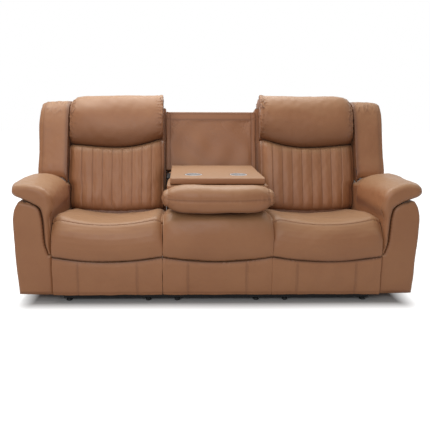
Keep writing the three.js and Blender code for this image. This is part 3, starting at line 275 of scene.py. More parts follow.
@dataclass(frozen=True)
class Ends:
    """How a swept skin closes: a rounded rim of the given radius, then a side that bulges."""

    radius: float = 8.0
    bulge: float = 3.0
    rim_steps: int = 5
    side_steps: int = 5

    def close(self, at: float, way: int, loop: Array, marks: Array) -> tuple:
        """Rings that close one end, their places, distances to the rim, no foot, and the pole.

        A quarter round rim comes first, then rings that shrink to the pole.
        """
        middle = (loop.min(0) + loop.max(0)) / 2
        arm = loop - middle
        reach = np.linalg.norm(arm, axis=1, keepdims=True)
        rings, places = [], []
        for angle in np.linspace(0, math.pi / 2, self.rim_steps + 1)[1:]:
            keep = 1 - self.radius * (1 - math.cos(angle)) / np.maximum(reach, self.radius * 1.2)
            rings.append(middle + arm * keep)
            places.append(at + way * self.radius * math.sin(angle))
        flat = rings[-1] - middle
        for step in range(1, self.side_steps + 1):
            keep = 1 - step / (self.side_steps + 1)
            rings.append(middle + flat * keep)
            places.append(at + way * (self.radius + self.bulge * (1 - keep**2)))
        where = np.repeat(np.array(places)[:, None], len(loop), 1)
        gap = np.linalg.norm(np.array(rings) - loop, axis=2) + np.abs(where - at)
        return np.array(rings), where, gap, None, (at + way * (self.radius + self.bulge), *middle)


@dataclass(frozen=True)
class Dome:
    """How a swept skin closes when its section is bent: rings draw in to the section's spine.

    The spine is the middle of the lines that join points equally far, round the section, from its
    tip. It stops short of the tip and of the opposite foot by the two blunt lengths, so both come
    out round. The height over the rim is depth * sqrt(1 - (1 - t) squared), where t is the distance
    to the rim as a share of reach.
    """

    depth: float
    reach: float
    tip: tuple[int, float]
    blunt: tuple[float, float] = (24.0, 6.0)
    rings: int = 14

    def close(self, at: float, way: int, loop: Array, marks: Array) -> tuple:
        """Rings, their places and distances to the rim, the spine's first column, and a spare pole."""
        columns = len(loop)
        corner, part = self.tip
        tip = lerp(marks[corner], marks[corner + 1], part)
        foot = (int(round(tip / marks[-1] * columns)) + columns // 2) % columns
        partner = (2 * foot - np.arange(columns)) % columns
        middle = (loop + loop[partner]) / 2
        step = marks[-1] / columns
        away = np.abs((np.arange(columns) - foot) % columns - columns // 2)
        away = np.clip(away, self.blunt[0] / step, columns // 2 - self.blunt[1] / step)
        spine = pick(middle[(foot + columns // 2 + np.arange(columns // 2 + 1)) % columns], away)
        share = 0.98 * (np.arange(1, self.rings + 1) / self.rings) ** 1.7
        rings = loop[None] + (spine - loop)[None] * share[:, None, None]
        gap = np.linalg.norm(rings[:, :, None] - loop[None, None], axis=3).min(2)
        height = self.depth * np.sqrt(1 - (1 - np.clip(gap / self.reach, 0, 1)) ** 2)
        return rings, at + way * height, gap, foot, (at, 0.0, 0.0)


class Skin:
    """A closed surface swept through sections: rows lie along it, and columns go round it."""

    def __init__(
        self,
        along: Array,
        outline: Array,
        place: Placer,
        softness: float = 6.0,
        columns: int = 128,
        ends: Ends | tuple[Ends | Dome, Ends | Dome] = Ends(),
        lead: int | None = None,
    ) -> None:
        """Sweeps the sections and closes both ends.

        Args:
            along: Each section's place on the sweep, in millimetres.
            outline: The sections' corners, as (sections, corners, 2).
            place: Turns (along, a, b) into points in millimetres.
            softness: The corners' blur, in millimetres.
            columns: Points round each section.
            ends: How both ends close, or how the first and the last do.
            lead: The section whose even columns the others follow.
        """
        loops, arc, marks = dense(outline, columns, softness, lead)
        both = ends if isinstance(ends, tuple) else (ends, ends)
        first = both[0].close(along[0], -1, loops[0], marks[0])
        last = both[1].close(along[-1], 1, loops[-1], marks[-1])
        rows = np.concatenate([first[0][::-1], loops, last[0]])
        self.across = np.concatenate([first[1][::-1], np.repeat(along[:, None], columns, 1), last[1]])
        self.inward = np.concatenate([first[2][::-1], np.zeros(loops.shape[:2]), last[2]])
        self.points = place(self.across, rows[..., 0], rows[..., 1])
        self.feet = (first[3], last[3])
        self.poles = place(*(np.array(axis) for axis in zip(first[4], last[4])))
        pad = (len(first[0]), len(last[0]))
        self.arc, self.marks = (np.pad(table, (pad, (0, 0)), "edge") for table in (arc, marks))
        self.body_rows = slice(pad[0], len(rows) - pad[1])
        # Painted shade at each point, from 0 to 1: where it is high the leather is drawn darker and redder.
        self.crease = np.zeros(self.arc.shape)
        self.turn = 1.0 if self._volume() > 0 else -1.0

    def _volume(self) -> float:
        """Six times the enclosed volume's main part, whose sign says which way the faces point."""
        p = self.points
        a, b = p[:-1], p[1:]
        c, d = np.roll(a, -1, 1), np.roll(b, -1, 1)
        middle = p.reshape(-1, 3).mean(0)
        parts = np.cross(c - a, b - a) * (a - middle) + np.cross(d - b, d - c) * (d - middle) * -1
        return float(-parts.sum())

    def normals(self) -> Array:
        """Outward unit normals: the cross product of the differences along rows and columns."""
        across = np.gradient(self.points, axis=0)
        round_ = np.roll(self.points, -1, 1) - np.roll(self.points, 1, 1)
        normal = np.cross(across, round_) * self.turn
        return normal / np.maximum(np.linalg.norm(normal, axis=2, keepdims=True), 1e-9)

    def past(self, corner: int) -> Array:
        """How far round the section each point lies past one of the outline's corners."""
        return self.arc - self.marks[:, corner : corner + 1]

    def from_mark(self, corner: int) -> Array:
        """Each point's distance from the line along the piece at one of the outline's corners."""
        gap = np.abs(self.past(corner))
        return np.hypot(np.minimum(gap, self.marks[:, -1:] - gap), self.inward)

    def push(self, amount: Array) -> Skin:
        """Moves every point outwards by an amount in millimetres."""
        self.points = self.points + self.normals() * amount[..., None]
        return self

    def darken(self, shade: Array | float) -> Skin:
        """Gives the crease at least this much painted shade, which darkens the leather's colour."""
        self.crease = np.maximum(self.crease, shade)
        return self

    def ripple(self, local: Array, mask: Array | float, *layers: tuple) -> Skin:
        """Pushes by layers of smooth noise.

        Args:
            local: The places that the noise is read at.
            mask: How much of it each point gets.
            layers: Each layer's height, then its seed, wavelength and stretch as waves takes them.
        """
        return self.push(mask * sum(height * waves(local, *layer) for height, *layer in layers))

    def seam(
        self, distance: Array, depth: float, width: float, shade: float, spread: float = 3
    ) -> Skin:
        """Sews a seam: a narrow groove, and painted shade some widths wide around it."""
        return self.darken(shade * bell(distance, width * spread)).push(-depth * bell(distance, width))

    def pucker(self, distance: Array, local: Array, depth: float, seed: int, pitch: float = 17) -> Skin:
        """Gathers at a seam: ripples along it that fade with the distance from it."""
        x = local * np.array([1, 0, 0])
        ripple = np.cos(2 * math.pi * local[..., 0] / pitch + 1.7 * waves(x, seed + 40, 90))
        strength = np.clip(0.5 + 0.5 * waves(x, seed + 41, 140), 0, 1.5)
        return self.push(depth * ripple * strength * np.exp(-distance / 16))

    def trace(self, corner: int, shift: float = 0.0) -> tuple[Array, Array]:
        """The line along the piece at a corner's place, moved round the section by shift.

        Returns:
            Points and outward normals along the line, from the first section to the last.
        """
        rows, columns = self.points.shape[:2]
        at = (self.marks[:, corner] + shift) % self.marks[:, -1]
        index = at / self.marks[:, -1] * columns
        low = np.floor(index).astype(int) % columns
        part = (index - np.floor(index))[:, None]
        picks = np.arange(rows)
        both = (self.points, self.normals())
        lines = (lerp(table[picks, low], table[picks, (low + 1) % columns], part) for table in both)
        return tuple(line[self.body_rows] for line in lines)

    def rib(self, at: float, columns: Array) -> tuple[Array, Array]:
        """The line round the section nearest a place, through the given columns, with its normals."""
        row = int(np.argmin(np.abs(self.across[:, 0] - at)))
        return self.points[row, columns], self.normals()[row, columns]

    def mesh(self, name: str, datum: Datum) -> bpy.types.Object:
        """Makes the mesh, with its painted crease shade as a point attribute."""
        rows, columns = self.points.shape[:2]
        grid = np.arange(rows * columns).reshape(rows, columns)
        faces = [ring_quads(grid)]
        points, shade = [self.points.reshape(-1, 3)], [self.crease.ravel()]
        for ring, foot, pole, way in zip((grid[0], grid[-1]), self.feet, self.poles, (1, -1)):
            if foot is None:
                tip = sum(len(block) for block in points)
                points.append(pole[None])
                shade.append(np.zeros(1))
                caps = [np.stack([np.full(columns, tip), ring, np.roll(ring, -1)], -1)]
            else:
                caps = self._zip(ring, foot)
            faces += [cap[:, ::way] for cap in caps]
        if self.turn > 0:
            faces = [block[:, ::-1] for block in faces]
        return make_mesh(name, datum.row(np.concatenate(points)), faces, np.concatenate(shade))

    @staticmethod
    def _zip(ring: Array, foot: int) -> list[Array]:
        """Faces that join the two sides of a ring that has drawn in to its spine."""
        count = len(ring)
        half = count // 2
        step = np.arange(1, half - 1)
        sides = [ring[(foot + turn) % count] for turn in (step, step + 1, -step - 1, -step)]
        tip = (foot + half) % count
        ends = [
            [ring[foot], ring[(foot + 1) % count], ring[foot - 1]],
            [ring[tip - 1], ring[tip], ring[(tip + 1) % count]],
        ]
        return [np.stack(sides, -1), np.array(ends)]


def ring_quads(grid: Array) -> Array:
    """Quads between neighbouring rings of vertices, each of which is a closed loop."""
    a, b = grid[:-1], grid[1:]
    return np.stack([a, b, np.roll(b, -1, 1), np.roll(a, -1, 1)], -1).reshape(-1, 4)


def make_mesh(
    name: str, points: Array, faces: Sequence[Array], shade: Array | None = None
) -> bpy.types.Object:
    """Puts arrays into a new smooth shaded mesh object at the origin.

    Args:
        name: The piece's name.
        points: Vertices in metres, in the row frame.
        faces: Arrays of face corners, each with its own number of corners.
        shade: Each vertex's painted crease shade from 0 to 1.

    Returns:
        The object, linked to the scene.
    """
    mesh = bpy.data.meshes.new(name)
    mesh.from_pydata(points.tolist(), [], [tuple(face) for block in faces for face in block.tolist()])
    mesh.validate()
    values = np.zeros(len(points)) if shade is None else shade
    mesh.attributes.new("crease", "FLOAT", "POINT").data.foreach_set("value", values.astype(np.float32))
    mesh.polygons.foreach_set("use_smooth", np.ones(len(mesh.polygons), bool))
    mesh.update()
    piece = bpy.data.objects.new(name, mesh)
    bpy.context.scene.collection.objects.link(piece)
    return piece


def stitches(
    path: Array, facing: Array, pitch: float = 7.0, length: float = 4.6, radius: float = 0.75
) -> Array:
    """Rows of lock stitches: each is a short spindle that dips into the leather at its two ends.

    Returns:
        Vertices as (stitches, rings * sides, 3). stitch_faces gives their faces.
    """
    steps = np.linalg.norm(np.diff(path, axis=0), axis=1)
    reach = np.concatenate([[0], np.cumsum(steps)])
    count = max(int(reach[-1] / pitch), 2)
    index = np.interp((np.arange(count) + 0.5) * reach[-1] / count, reach, np.arange(len(path)))
    centre = pick(path, index)
    tangent = pick(np.gradient(path, axis=0), index)
    tangent /= np.linalg.norm(tangent, axis=1, keepdims=True)
    up = pick(facing, index)
    up /= np.linalg.norm(up, axis=1, keepdims=True)
    side = np.cross(tangent, up)
    shares = np.array([-1.0, -0.7, 0.0, 0.7, 1.0])
    thick = np.array([0.25, 0.8, 1.0, 0.8, 0.25]) * radius
    lift = np.array([-0.9, 0.1, 0.5, 0.1, -0.9]) * radius
    angle = np.arange(5) / 5 * 2 * math.pi
    ring = (
        centre[:, None, None]
        + tangent[:, None, None] * (shares * length / 2)[None, :, None, None]
        + up[:, None, None] * (lift[:, None] + thick[:, None] * np.cos(angle))[None, :, :, None]
        + side[:, None, None] * (thick[:, None] * np.sin(angle))[None, :, :, None]
    )
    return ring.reshape(count, -1, 3)


def stitch_faces(count: int, rings: int = 5, sides: int = 5) -> list[Array]:
    """Faces of a row of spindles: quads round each, and a flat face at each end."""
    grid = np.arange(rings * sides).reshape(rings, sides)
    base = (np.arange(count) * rings * sides)[:, None, None]
    caps = np.stack([grid[0], grid[-1][::-1]])
    return [(ring_quads(grid)[None] + base).reshape(-1, 4), (caps[None] + base).reshape(-1, sides)]


class Workshop:
    """Makes, names, finishes and attaches the leather and the thread."""

    def __init__(self, datum: Datum, hide: bpy.types.Material, yarn: bpy.types.Material) -> None:
        """Keeps the datum and the materials of the leather and of the thread."""
        self.datum = datum
        self.hide = hide
        self.yarn = yarn
        self.thread: dict[str, list[Array]] = {}

    def cover(
        self, stem: str, skin: Skin, body: str, nodes: Sequence[str] = ()
    ) -> bpy.types.Object:
        """Makes a leather piece that rides on a body.

        Args:
            stem: Its name without the last word.
            skin: Its surface.
            body: The body that it rides on.
            nodes: The solids that it stands for.

        Returns:
            The piece.
        """
        piece = skin.mesh(f"{stem}_leather", self.datum)
        piece.data.materials.append(self.hide)
        if nodes:
            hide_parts(*nodes)
        self._attach(piece, body)
        return piece

    def sew(self, body: str, path: Array, facing: Array, lift: float = 0.2) -> None:
        """Adds a row of stitches to a body's thread."""
        self.thread.setdefault(body, []).append(stitches(path + facing * lift, facing))

    def finish_thread(self) -> None:
        """Makes one piece of thread for each body."""
        for body, rows in self.thread.items():
            points = np.concatenate(rows)
            faces = stitch_faces(len(points))
            piece = make_mesh(f"{body}_stitching", self.datum.row(points.reshape(-1, 3)), faces)
            piece.data.materials.append(self.yarn)
            self._attach(piece, body)

    @staticmethod
    def _attach(piece: bpy.types.Object, body: str) -> None:
        """Rides a finished piece on its body and reports it."""
        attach(piece, body)
        LOG.info("%s: %d faces on %s", piece.name, len(piece.data.polygons), body)


@dataclass(frozen=True)
class SeatLines:
    """The lines across a seat that its pieces share, with a value or a row for each section.

    Attributes:
        seam: The seam between cushion and front pad.
        root_z: Height of the hidden step between the two.
        base: Corners under the cushion.
        behind: A corner on the cushion's rear face.
        top: The cushion's top, from the seam to the rear.
        front: The front pad's face, from the seam down.
    """

    seam: tuple[Array, Array]
    root_z: Array
    base: list[tuple[Array, Array]]
    behind: tuple[Array, Array]
    top: Array
    front: Array


@dataclass
class Seat:
    """One seat: its cushion, the bulging front pad and the lower panel."""

    side: Side
    width: float = 560.0
    overlap: float = 1.0
    seam_room: float = 0.3
    seam_shade: float = 0.12
    fold_shade: float = 0.8
    rear_y: float = 585.0
    face_y: float = 112.0
    floor_z: float = 243.6
    seam_y: float = 30.0
    seam_z: float = 404.0
    seam_rise: float = 31.0
    seam_bow: float = 30.0
    root_y: float = 78.0
    root_z: float = 376.0
    root_rise: float = 22.0
    rear_z: float = 350.0
    rear_rise: float = 23.0
    crown: float = 12.0
    side_crown: float = 16.0
    shoulder: float = 46.0
    lip: float = 9.0
    crease_z: float = 216.0
    crease_rise: float = 26.0
    crease_room: float = 1.5
    crease_y: float = 6.0
    bulge: float = 34.0
    board_y: float = 31.5
    board_top: float = 341.0
    hem_z: float = 38.0
    hem_rise: float = 14.0
    panel_seam_x: float = 151.0
    stitch_gap: float = 6.0
    top_shares: tuple = (0.03, 0.07, 0.13, 0.22, 0.34, 0.48, 0.62, 0.76, 0.88, 0.96)
    front_shares: tuple = (0.05, 0.12, 0.22, 0.35, 0.5, 0.65, 0.8, 0.9, 0.96, 1.0)

    @property
    def center_x(self) -> float:
        """The middle of the seat."""
        return SEAT_PITCH * self.side.value

    @property
    def half(self) -> float:
        """Half the width of the leather."""
        return self.width / 2 + self.overlap

    def place(self, x: Array, y: Array, z: Array) -> Array:
        """A place across the seat, with its X counted from the seat's middle."""
        return upright(self.center_x + x, y, z)

    def _local(self, skin: Skin) -> Array:
        """A skin's points, counted from the seat's middle."""
        return skin.points - np.array([self.center_x, 0, 0])

    def _lines(self, x: Array) -> SeatLines:
        """Works out the lines at each place across the seat.

        The seam is a smile that rises with the share squared. The top goes from seam height to rear
        height, plus a crown of sin(pi t ** 0.7), and the front bulges by sin(pi t ** 0.85) ** 0.85.
        Near both sides everything falls as a quarter round does.
        """
        share = x / self.half
        edge = round_off((np.abs(share) - 0.8) / 0.2)
        drop = self.shoulder * edge
        seam_y = self.seam_y + self.seam_bow * share**2
        seam_z = self.seam_z + self.seam_rise * share**2 - drop
        root_z = self.root_z + self.root_rise * share**2 - drop / 2
        rear_y, rear_z = self.rear_y - drop * 0.25, self.rear_z + self.rear_rise * share**2 - drop
        toe_y = self.face_y + drop * 0.12
        t = np.array(self.top_shares)[None]
        crown = self.crown + self.side_crown * share**2
        top_z = lerp(seam_z[:, None], rear_z[:, None], t) + crown[:, None] * np.sin(math.pi * t**0.7)
        top_z += self.lip * (1 - np.exp(-t / 0.03)) * (1 - t) ** 2
        top = np.stack([lerp(seam_y[:, None], rear_y[:, None], t), top_z], -1)
        t = np.array(self.front_shares)[None]
        bottom = self.crease_z + self.crease_rise * share**2 + self.crease_room
        front_y = lerp((seam_y - self.seam_room)[:, None], self.crease_y, t)
        front_y -= (self.bulge * (1 - 0.35 * edge))[:, None] * np.sin(math.pi * t**0.85) ** 0.85
        front_z = lerp((seam_z - self.seam_room)[:, None], bottom[:, None], t)
        base = [(rear_y, self.floor_z), (toe_y, self.floor_z), (toe_y, root_z - 7)]
        behind = (rear_y, lerp(self.floor_z, rear_z, 0.8))
        front = np.stack([front_y, front_z], -1)
        return SeatLines((seam_y, seam_z), root_z, base, behind, top, front)

    def block(self) -> Skin:
        """The centre's cushion and pad as one cover, which runs over the nose without a seam."""
        ends = Ends(radius=5, bulge=0)
        x = stations(self.half - ends.radius, 84)
        lines = self._lines(x)
        below = lines.base + [
            (self.root_y - 6, lines.root_z - 3), (self.board_y, self.board_top),
            (self.board_y, lines.front[:, -1, 1]),
        ]
        front, behind = lines.front[:, ::-1], corner_loop(x, [lines.behind])
        outline = np.concatenate([corner_loop(x, below), front, lines.top[:, 1:], behind], 1)
        skin = Skin(x, outline, self.place, softness=4.5, columns=180, ends=ends)
        local = skin.points
        seen = smooth_step(380, 400, local[..., 2]) + smooth_step(22, 8, local[..., 1])
        skin.ripple(local, np.clip(seen, 0, 1), (1.4, 21, 140, (1.5, 1, 1)), (0.3, 22, 42))
        crease = skin.from_mark(len(below))
        skin.darken(self.fold_shade * bell(crease, 6))
        return skin.pucker(crease, local, 0.9, 23, 23)

    def cushion(self) -> Skin:
        """The saucer behind the seam, whose section starts at the seam."""
        ends = Ends(radius=7, bulge=0)
        x = stations(self.half - ends.radius, 84)
        lines = self._lines(x)
        below = lines.base + [(self.root_y, lines.root_z + 1), lines.seam]
        parts = [corner_loop(x, below), lines.top, corner_loop(x, [lines.behind])]
        outline = np.roll(np.concatenate(parts, 1), 1 - len(below), 1)
        skin = Skin(x, outline, self.place, softness=2.0, columns=240, ends=ends)
        local = self._local(skin)
        seed = 11 + self.side.value
        top = smooth_step(0, 40, local[..., 1] - 40) * smooth_step(300, 360, local[..., 2])
        skin.ripple(local, top, (1.6, seed, 150), (0.35, seed + 5, 45))
        corners = smooth_step(0.72, 0.98, np.abs(local[..., 0]) / self.half) * top
        skin.push(-1.6 * corners * fold_lines(local, seed + 9, 70, 0.22, (2.2, 0.8, 1)))
        skin.darken(self.seam_shade * bell(skin.from_mark(0), 7))
        return skin.pucker(skin.from_mark(0), local, 0.5, seed)

    def front_pad(self) -> Skin:
        """The upper half of the seat's front, whose section starts at the seam."""
        ends = Ends(radius=5, bulge=0)
        x = stations(self.half - ends.radius, 72)
        lines = self._lines(x)
        rear = [
            (self.board_y, lines.front[:, -1, 1]), (self.board_y, self.board_top),
            (self.root_y - 6, lines.root_z - 3),
            (lines.seam[0] - self.seam_room, lines.seam[1] - self.seam_room),
        ]
        outline = np.roll(np.concatenate([corner_loop(x, rear), lines.front], 1), 1 - len(rear), 1)
        skin = Skin(x, outline, self.place, softness=2.0, columns=150, ends=ends)
        local = self._local(skin)
        seed = 31 + self.side.value
        front = smooth_step(22, 8, local[..., 1])
        skin.ripple(local, front, (1.3, seed, 130, (1.6, 1, 1)), (0.3, seed + 3, 40))
        lower = front * bell(local[..., 2] - self.crease_z - 18, 26)
        sides = smooth_step(0.7, 0.97, np.abs(local[..., 0]) / self.half)
        skin.push(-1.8 * lower * sides * fold_lines(local, seed + 8, 55, 0.25, (1.4, 1, 0.8)))
        crease = skin.from_mark(len(self.front_shares))
        skin.darken(self.fold_shade * bell(crease, 8))
        skin.darken(self.seam_shade * bell(skin.from_mark(0), 7))
        skin.pucker(crease, local, 0.9, seed + 2, 23)
        return skin.pucker(skin.from_mark(0), local, 0.5, seed + 4)

    def lower_panel(self) -> Skin:
        """The flat part below the crease, with its two vertical seams drawn in."""
        ends = Ends(radius=4, bulge=0)
        x = stations(self.half - ends.radius, 130, 0.25)
        hem, top = self.hem_z, self.crease_z + self.crease_rise * (x / self.half) ** 2 - self.crease_room
        corners = [
            (self.board_y, top), (self.board_y, hem), (3.5, hem), (0.5, hem + 18),
            (-1.5, lerp(hem, top, 0.5)), (1.0, lerp(hem, top, 0.86)), (self.crease_y, top),
        ]
        skin = Skin(x, corner_loop(x, corners), self.place, softness=3.0, columns=88, ends=ends)
        local = self._local(skin)
        seed = 51 + self.side.value
        front = smooth_step(14, 5, local[..., 1])
        skin.ripple(local, front, (0.9, seed, 110), (0.2, seed + 3, 34))
        beside = np.abs(np.abs(local[..., 0]) - self.panel_seam_x)
        skin.seam(np.where(front > 0.1, beside, NOWHERE), 1.3, 2.4, shade=0.35, spread=1.6)
        above_hem = local[..., 2] - hem - self.hem_rise
        skin.push(-0.9 * front * bell(above_hem, 2.2))
        # Painted shade in the hem's groove.
        skin.darken(0.3 * front * bell(above_hem, 4))
        crease = skin.from_mark(len(corners) - 1)
        skin.darken(self.fold_shade * bell(crease, 7))
        return skin.pucker(crease, local, 0.8, seed + 2, 21)

    def build(self, shop: Workshop) -> None:
        """Makes the seat's pieces and their stitching."""
        word = self.side.word
        if self.side is Side.CENTER:
            body = "frame"
            nodes = [f"{word}_seat_cushion", f"{word}_front_pad"]
            shop.cover(f"{word}_seat", self.block(), body, nodes)
        else:
            body = f"{word}_leg_rest"
            cushion = self.cushion()
            shop.cover(f"{word}_seat", cushion, f"{word}_seat", [f"{word}_seat_cushion"])
            shop.sew(f"{word}_seat", *cushion.trace(0, 9.0))
            shop.cover(f"{word}_front_pad", self.front_pad(), body, [f"{word}_front_pad"])
        panel = self.lower_panel()
        shop.cover(f"{word}_lower_panel", panel, body, [f"{word}_lower_panel"])
        self._sew_panel(shop, panel, body)

    def _sew_panel(self, shop: Workshop, panel: Skin, body: str) -> None:
        """Double rows beside each vertical seam."""
        arc, marks = panel.arc[60], panel.marks[60]
        columns = np.flatnonzero((arc > marks[2] + 12) & (arc < marks[6] - self.hem_rise))
        for seam_x in (-self.panel_seam_x, self.panel_seam_x):
            for aside in (-self.stitch_gap, self.stitch_gap):
                shop.sew(body, *panel.rib(seam_x + aside, columns))


@dataclass
class Back:
    """One reclining back: channelled lumbar cushion, headrest, wing and rear cover."""

    side: Side
    datum: Datum
    inner_x: float = -276.0
    outer_x: float = 280.0
    wide_x: float = 297.0
    frame_n: float = 45.5
    rear_n: float = -55.0
    lumbar_n: float = 224.0
    lumbar_s: float = -6.0
    lumbar_rise: float = 20.0
    lumbar_rear_s: float = 48.0
    lumbar_seam: float = 18.0
    crease_s: float = 388.0
    outer_rise: float = 22.0
    inner_rise: float = 58.0
    head_top_s: float = 722.0
    head_n: float = 242.0
    head_fall: float = 32.0
    head_inward: float = 16.0
    head_gathers: float = 4.4
    ear: float = 3.0
    frame_top_s: float = 661.0
    channel_x: float = 3.0
    channel_pitch: float = 58.4
    channels: int = 8
    wing_x: float = 298.0
    wing_width: float = 174.0
    wing_s: tuple[float, float] = (229.0, 688.0)
    wing_n: float = 217.0
    wing_draw: float = 20.0
    wing_shoulder: float = 52.0
    wing_seam: float = 0.83
    cover_thickness: float = 9.0
    cover_gap: float = 0.6
    cover_inset: float = 25.0
    cover_low_s: float = -5.0
    cover_rise: float = 19.0
    cover_corner: float = 25.0
    cover_hem: tuple[float, float] = (16.0, 14.0)
    band: float = 4.6
    gap_n: tuple[float, float] = (204.0, 207.0)
    gap_s: tuple[float, float] = (-138.0, 12.0)
    rise_shares: tuple = (0.0, 0.05, 0.12, 0.22, 0.35, 0.5, 0.65, 0.8, 0.9, 0.96, 1.0)
    depth_shares: tuple = (0.86, 0.965, 1.0, 1.01, 1.0, 0.985, 0.972, 0.96, 0.94, 0.88, 0.76)
    head_shares: tuple = (
        (0.77, 0), (0.83, 0.03), (0.89, 0.1), (0.945, 0.21), (0.985, 0.34), (0.99, 0.53), (0.93, 0.76),
        (0.84, 0.89), (0.68, 0.97), (0.43, 1.0), (0.0, 0.93),
    )
    wing_shares: tuple = (
        (0, 0.31), (0.15, 0.25), (0.47, 0.1), (0.85, -0.03), (0.985, -0.055), (1, -0.04), (1, 0.25),
        (0.985, 0.45), (0.95, 0.72), (0.89, 0.87), (0.78, 0.955), (0.6, 0.99), (0.38, 1.0), (0.2, 0.985),
        (0.05, 0.95), (0, 0.89),
    )

    def place(self, x: Array, n: Array, s: Array) -> Array:
        """A place on the leaning back, with X counted outwards from the seat's middle."""
        return self.datum.leaning(self.side.hand * (SEAT_PITCH + x), n, s)

    def _wide_place(self, x: Array, n: Array, s: Array) -> Array:
        """The lumbar cushion's place: above the arm its outer end widens to meet the wing."""
        wide = (self.wide_x - self.outer_x - 1) * smooth_step(150, 192, s)
        return self.place(x + wide * smooth_step(0.55, 1.0, x / self.outer_x), n, s)

    def crease(self, across: Array) -> Array:
        """Where the headrest meets the lumbar cushion: a smile that rises more at the inner end."""
        return self.crease_s + np.where(across > 0, self.outer_rise, self.inner_rise) * across**2

    def lumbar(self) -> tuple[Skin, Array]:
        """The lower cushion: a full front that rounds in at its sides, with sewn channels.

        Each channel seam is a narrow groove, and the leather swells a little between seams.

        Returns:
            The skin, and the places across it where the channels are sewn.
        """
        ends = Ends(radius=11, bulge=2)
        low, high = self.inner_x + ends.radius + 4, self.outer_x - ends.radius
        x = lerp((low + high) / 2, high, stations(1.0, 190, 0.2))
        across = share_between(x, low, high)
        bottom = self.lumbar_s + self.lumbar_rise * across**2
        top = self.crease(across) - 1 - 10 * smooth_step(0.94, 1.0, -across)
        deep = (self.lumbar_n - self.frame_n) * (1 - 0.2 * np.abs(across) ** 10)
        n = self.frame_n + deep[:, None] * np.array(self.depth_shares)[None]
        s = lerp(bottom[:, None], top[:, None], np.array(self.rise_shares)[None])
        rear = corner_loop(x, [(self.frame_n, top), (self.frame_n, self.lumbar_rear_s)])
        outline = np.concatenate([np.stack([n, s], -1), rear], 1)
        skin = Skin(x, outline, self._wide_place, softness=7.0, columns=150, ends=ends)
        seams = self.channel_x + (np.arange(self.channels) - (self.channels - 1) / 2) * self.channel_pitch
        half_pitch = self.channel_pitch / 2
        under_seam = -skin.past(10) - self.lumbar_seam
        front = smooth_step(-30, 10, skin.past(1)) * smooth_step(0, 10, under_seam)
        gap = np.abs(skin.across[..., None] - seams).min(-1)
        inside = (skin.across > seams[0] - 3) & (skin.across < seams[-1] + 3)
        swell = np.cos(math.pi * np.clip(gap, 0, half_pitch) / half_pitch)
        skin.push(-1.6 * front * np.where(inside, swell, 0.0))
        # Painted shade along each channel seam.
        skin.darken(0.3 * front * bell(gap, 3.6))
        skin.push(-1.9 * front * bell(gap, 2.1))
        skin.seam(skin.from_mark(10) - self.lumbar_seam, 1.6, 2.2, shade=0.5)
        local = skin.points
        seed = 71 + self.side.value
        skin.ripple(local, front, (1.2, seed, 160), (0.35, seed + 1, 42, (0.5, 1, 1.5)))
        phase = waves(local * (1, 0, 0), seed + 4, 120)
        gathers = np.cos(2 * math.pi * skin.across / (half_pitch / 2) + phase)
        skin.push(0.7 * front * gathers * np.exp(-np.maximum(under_seam, 0) / 34))
        skin.push(-1.3 * bell(skin.past(1), 40) * fold_lines(local, seed + 2, 60, 0.22, (0.6, 1, 1.6)))
        # Painted shade under the headrest's crease, at the bottom behind the seat, and at both ends.
        skin.darken(0.7 * bell(skin.from_mark(10), 12))
        skin.darken(0.85 * bell(skin.past(0), 38))
        skin.darken(0.35 * smooth_step(0.94, 1.0, np.abs(share_between(skin.across, low, high))))
        return skin, seams

    def headrest(self) -> Skin:
        """The roll above the crease. Its outer end is round, and its inner end has a sharp ear."""
        ends = (Ends(radius=6, bulge=0.6), Ends(radius=15, bulge=3))
        step = 4 if self.side is Side.RIGHT else 8
        low, high = self.inner_x + step + ends[0].radius, self.wide_x - ends[1].radius - 3
        x = lerp((low + high) / 2, high, stations(1.0, 110))
        across = share_between(x, low, high)
        fall = self.head_fall * round_off((across - 0.66) / 0.34)
        fall -= self.ear * smooth_step(0.93, 1.0, -across)
        bottom = self.crease(across)
        shares = curve(self.head_shares)
        n = lerp(self.rear_n, (self.head_n - fall * 0.8)[:, None], shares[None, :, 0])
        s = lerp(bottom[:, None], (self.head_top_s - fall)[:, None], shares[None, :, 1])
        rear = [(self.rear_n, self.frame_top_s), (self.frame_n, self.frame_top_s), (self.frame_n, bottom)]
        outline = np.concatenate([np.stack([n, s], -1), corner_loop(x, rear)], 1)

        def place(x_: Array, n_: Array, s_: Array) -> Array:
            """A place on the headrest, whose inner end draws in towards the rear."""
            inward = smooth_step(0.7, 1.0, -share_between(x_, low, high)) * smooth_step(200, 60, n_)
            return self.place(x_ + self.head_inward * inward, n_, s_)

        skin = Skin(x, outline, place, softness=6.0, columns=190, ends=ends)
        local = skin.points
        seed = 91 + self.side.value
        share = share_between(skin.across, low, high)
        front = smooth_step(0, 60, skin.past(4)) * smooth_step(0, 60, -skin.past(40))
        free = front * (1 - 0.8 * smooth_step(0.92, 1.0, -share))
        skin.ripple(local, free, (2.2, seed, 190, (1.5, 1, 1)), (0.4, seed + 3, 55))
        near_end = smooth_step(0.8, 1.0, np.abs(share))
        folds = fold_lines(local, seed + 6, 38, 0.24, (2.2, 1, 0.8))
        skin.push(-self.head_gathers * near_end * folds * smooth_step(0, 30, skin.past(0)))
        distance = skin.from_mark(0)
        # Painted shade in the folds near both ends, along the crease below, and over the lower part, which
        # faces down.
        skin.darken(0.6 * near_end * folds)
        skin.darken(0.85 * bell(distance, 14))
        skin.darken(0.6 * bell(distance, 90) * (skin.past(24) < 0))
        return skin.pucker(distance, local, 1.1, seed + 2, 27)

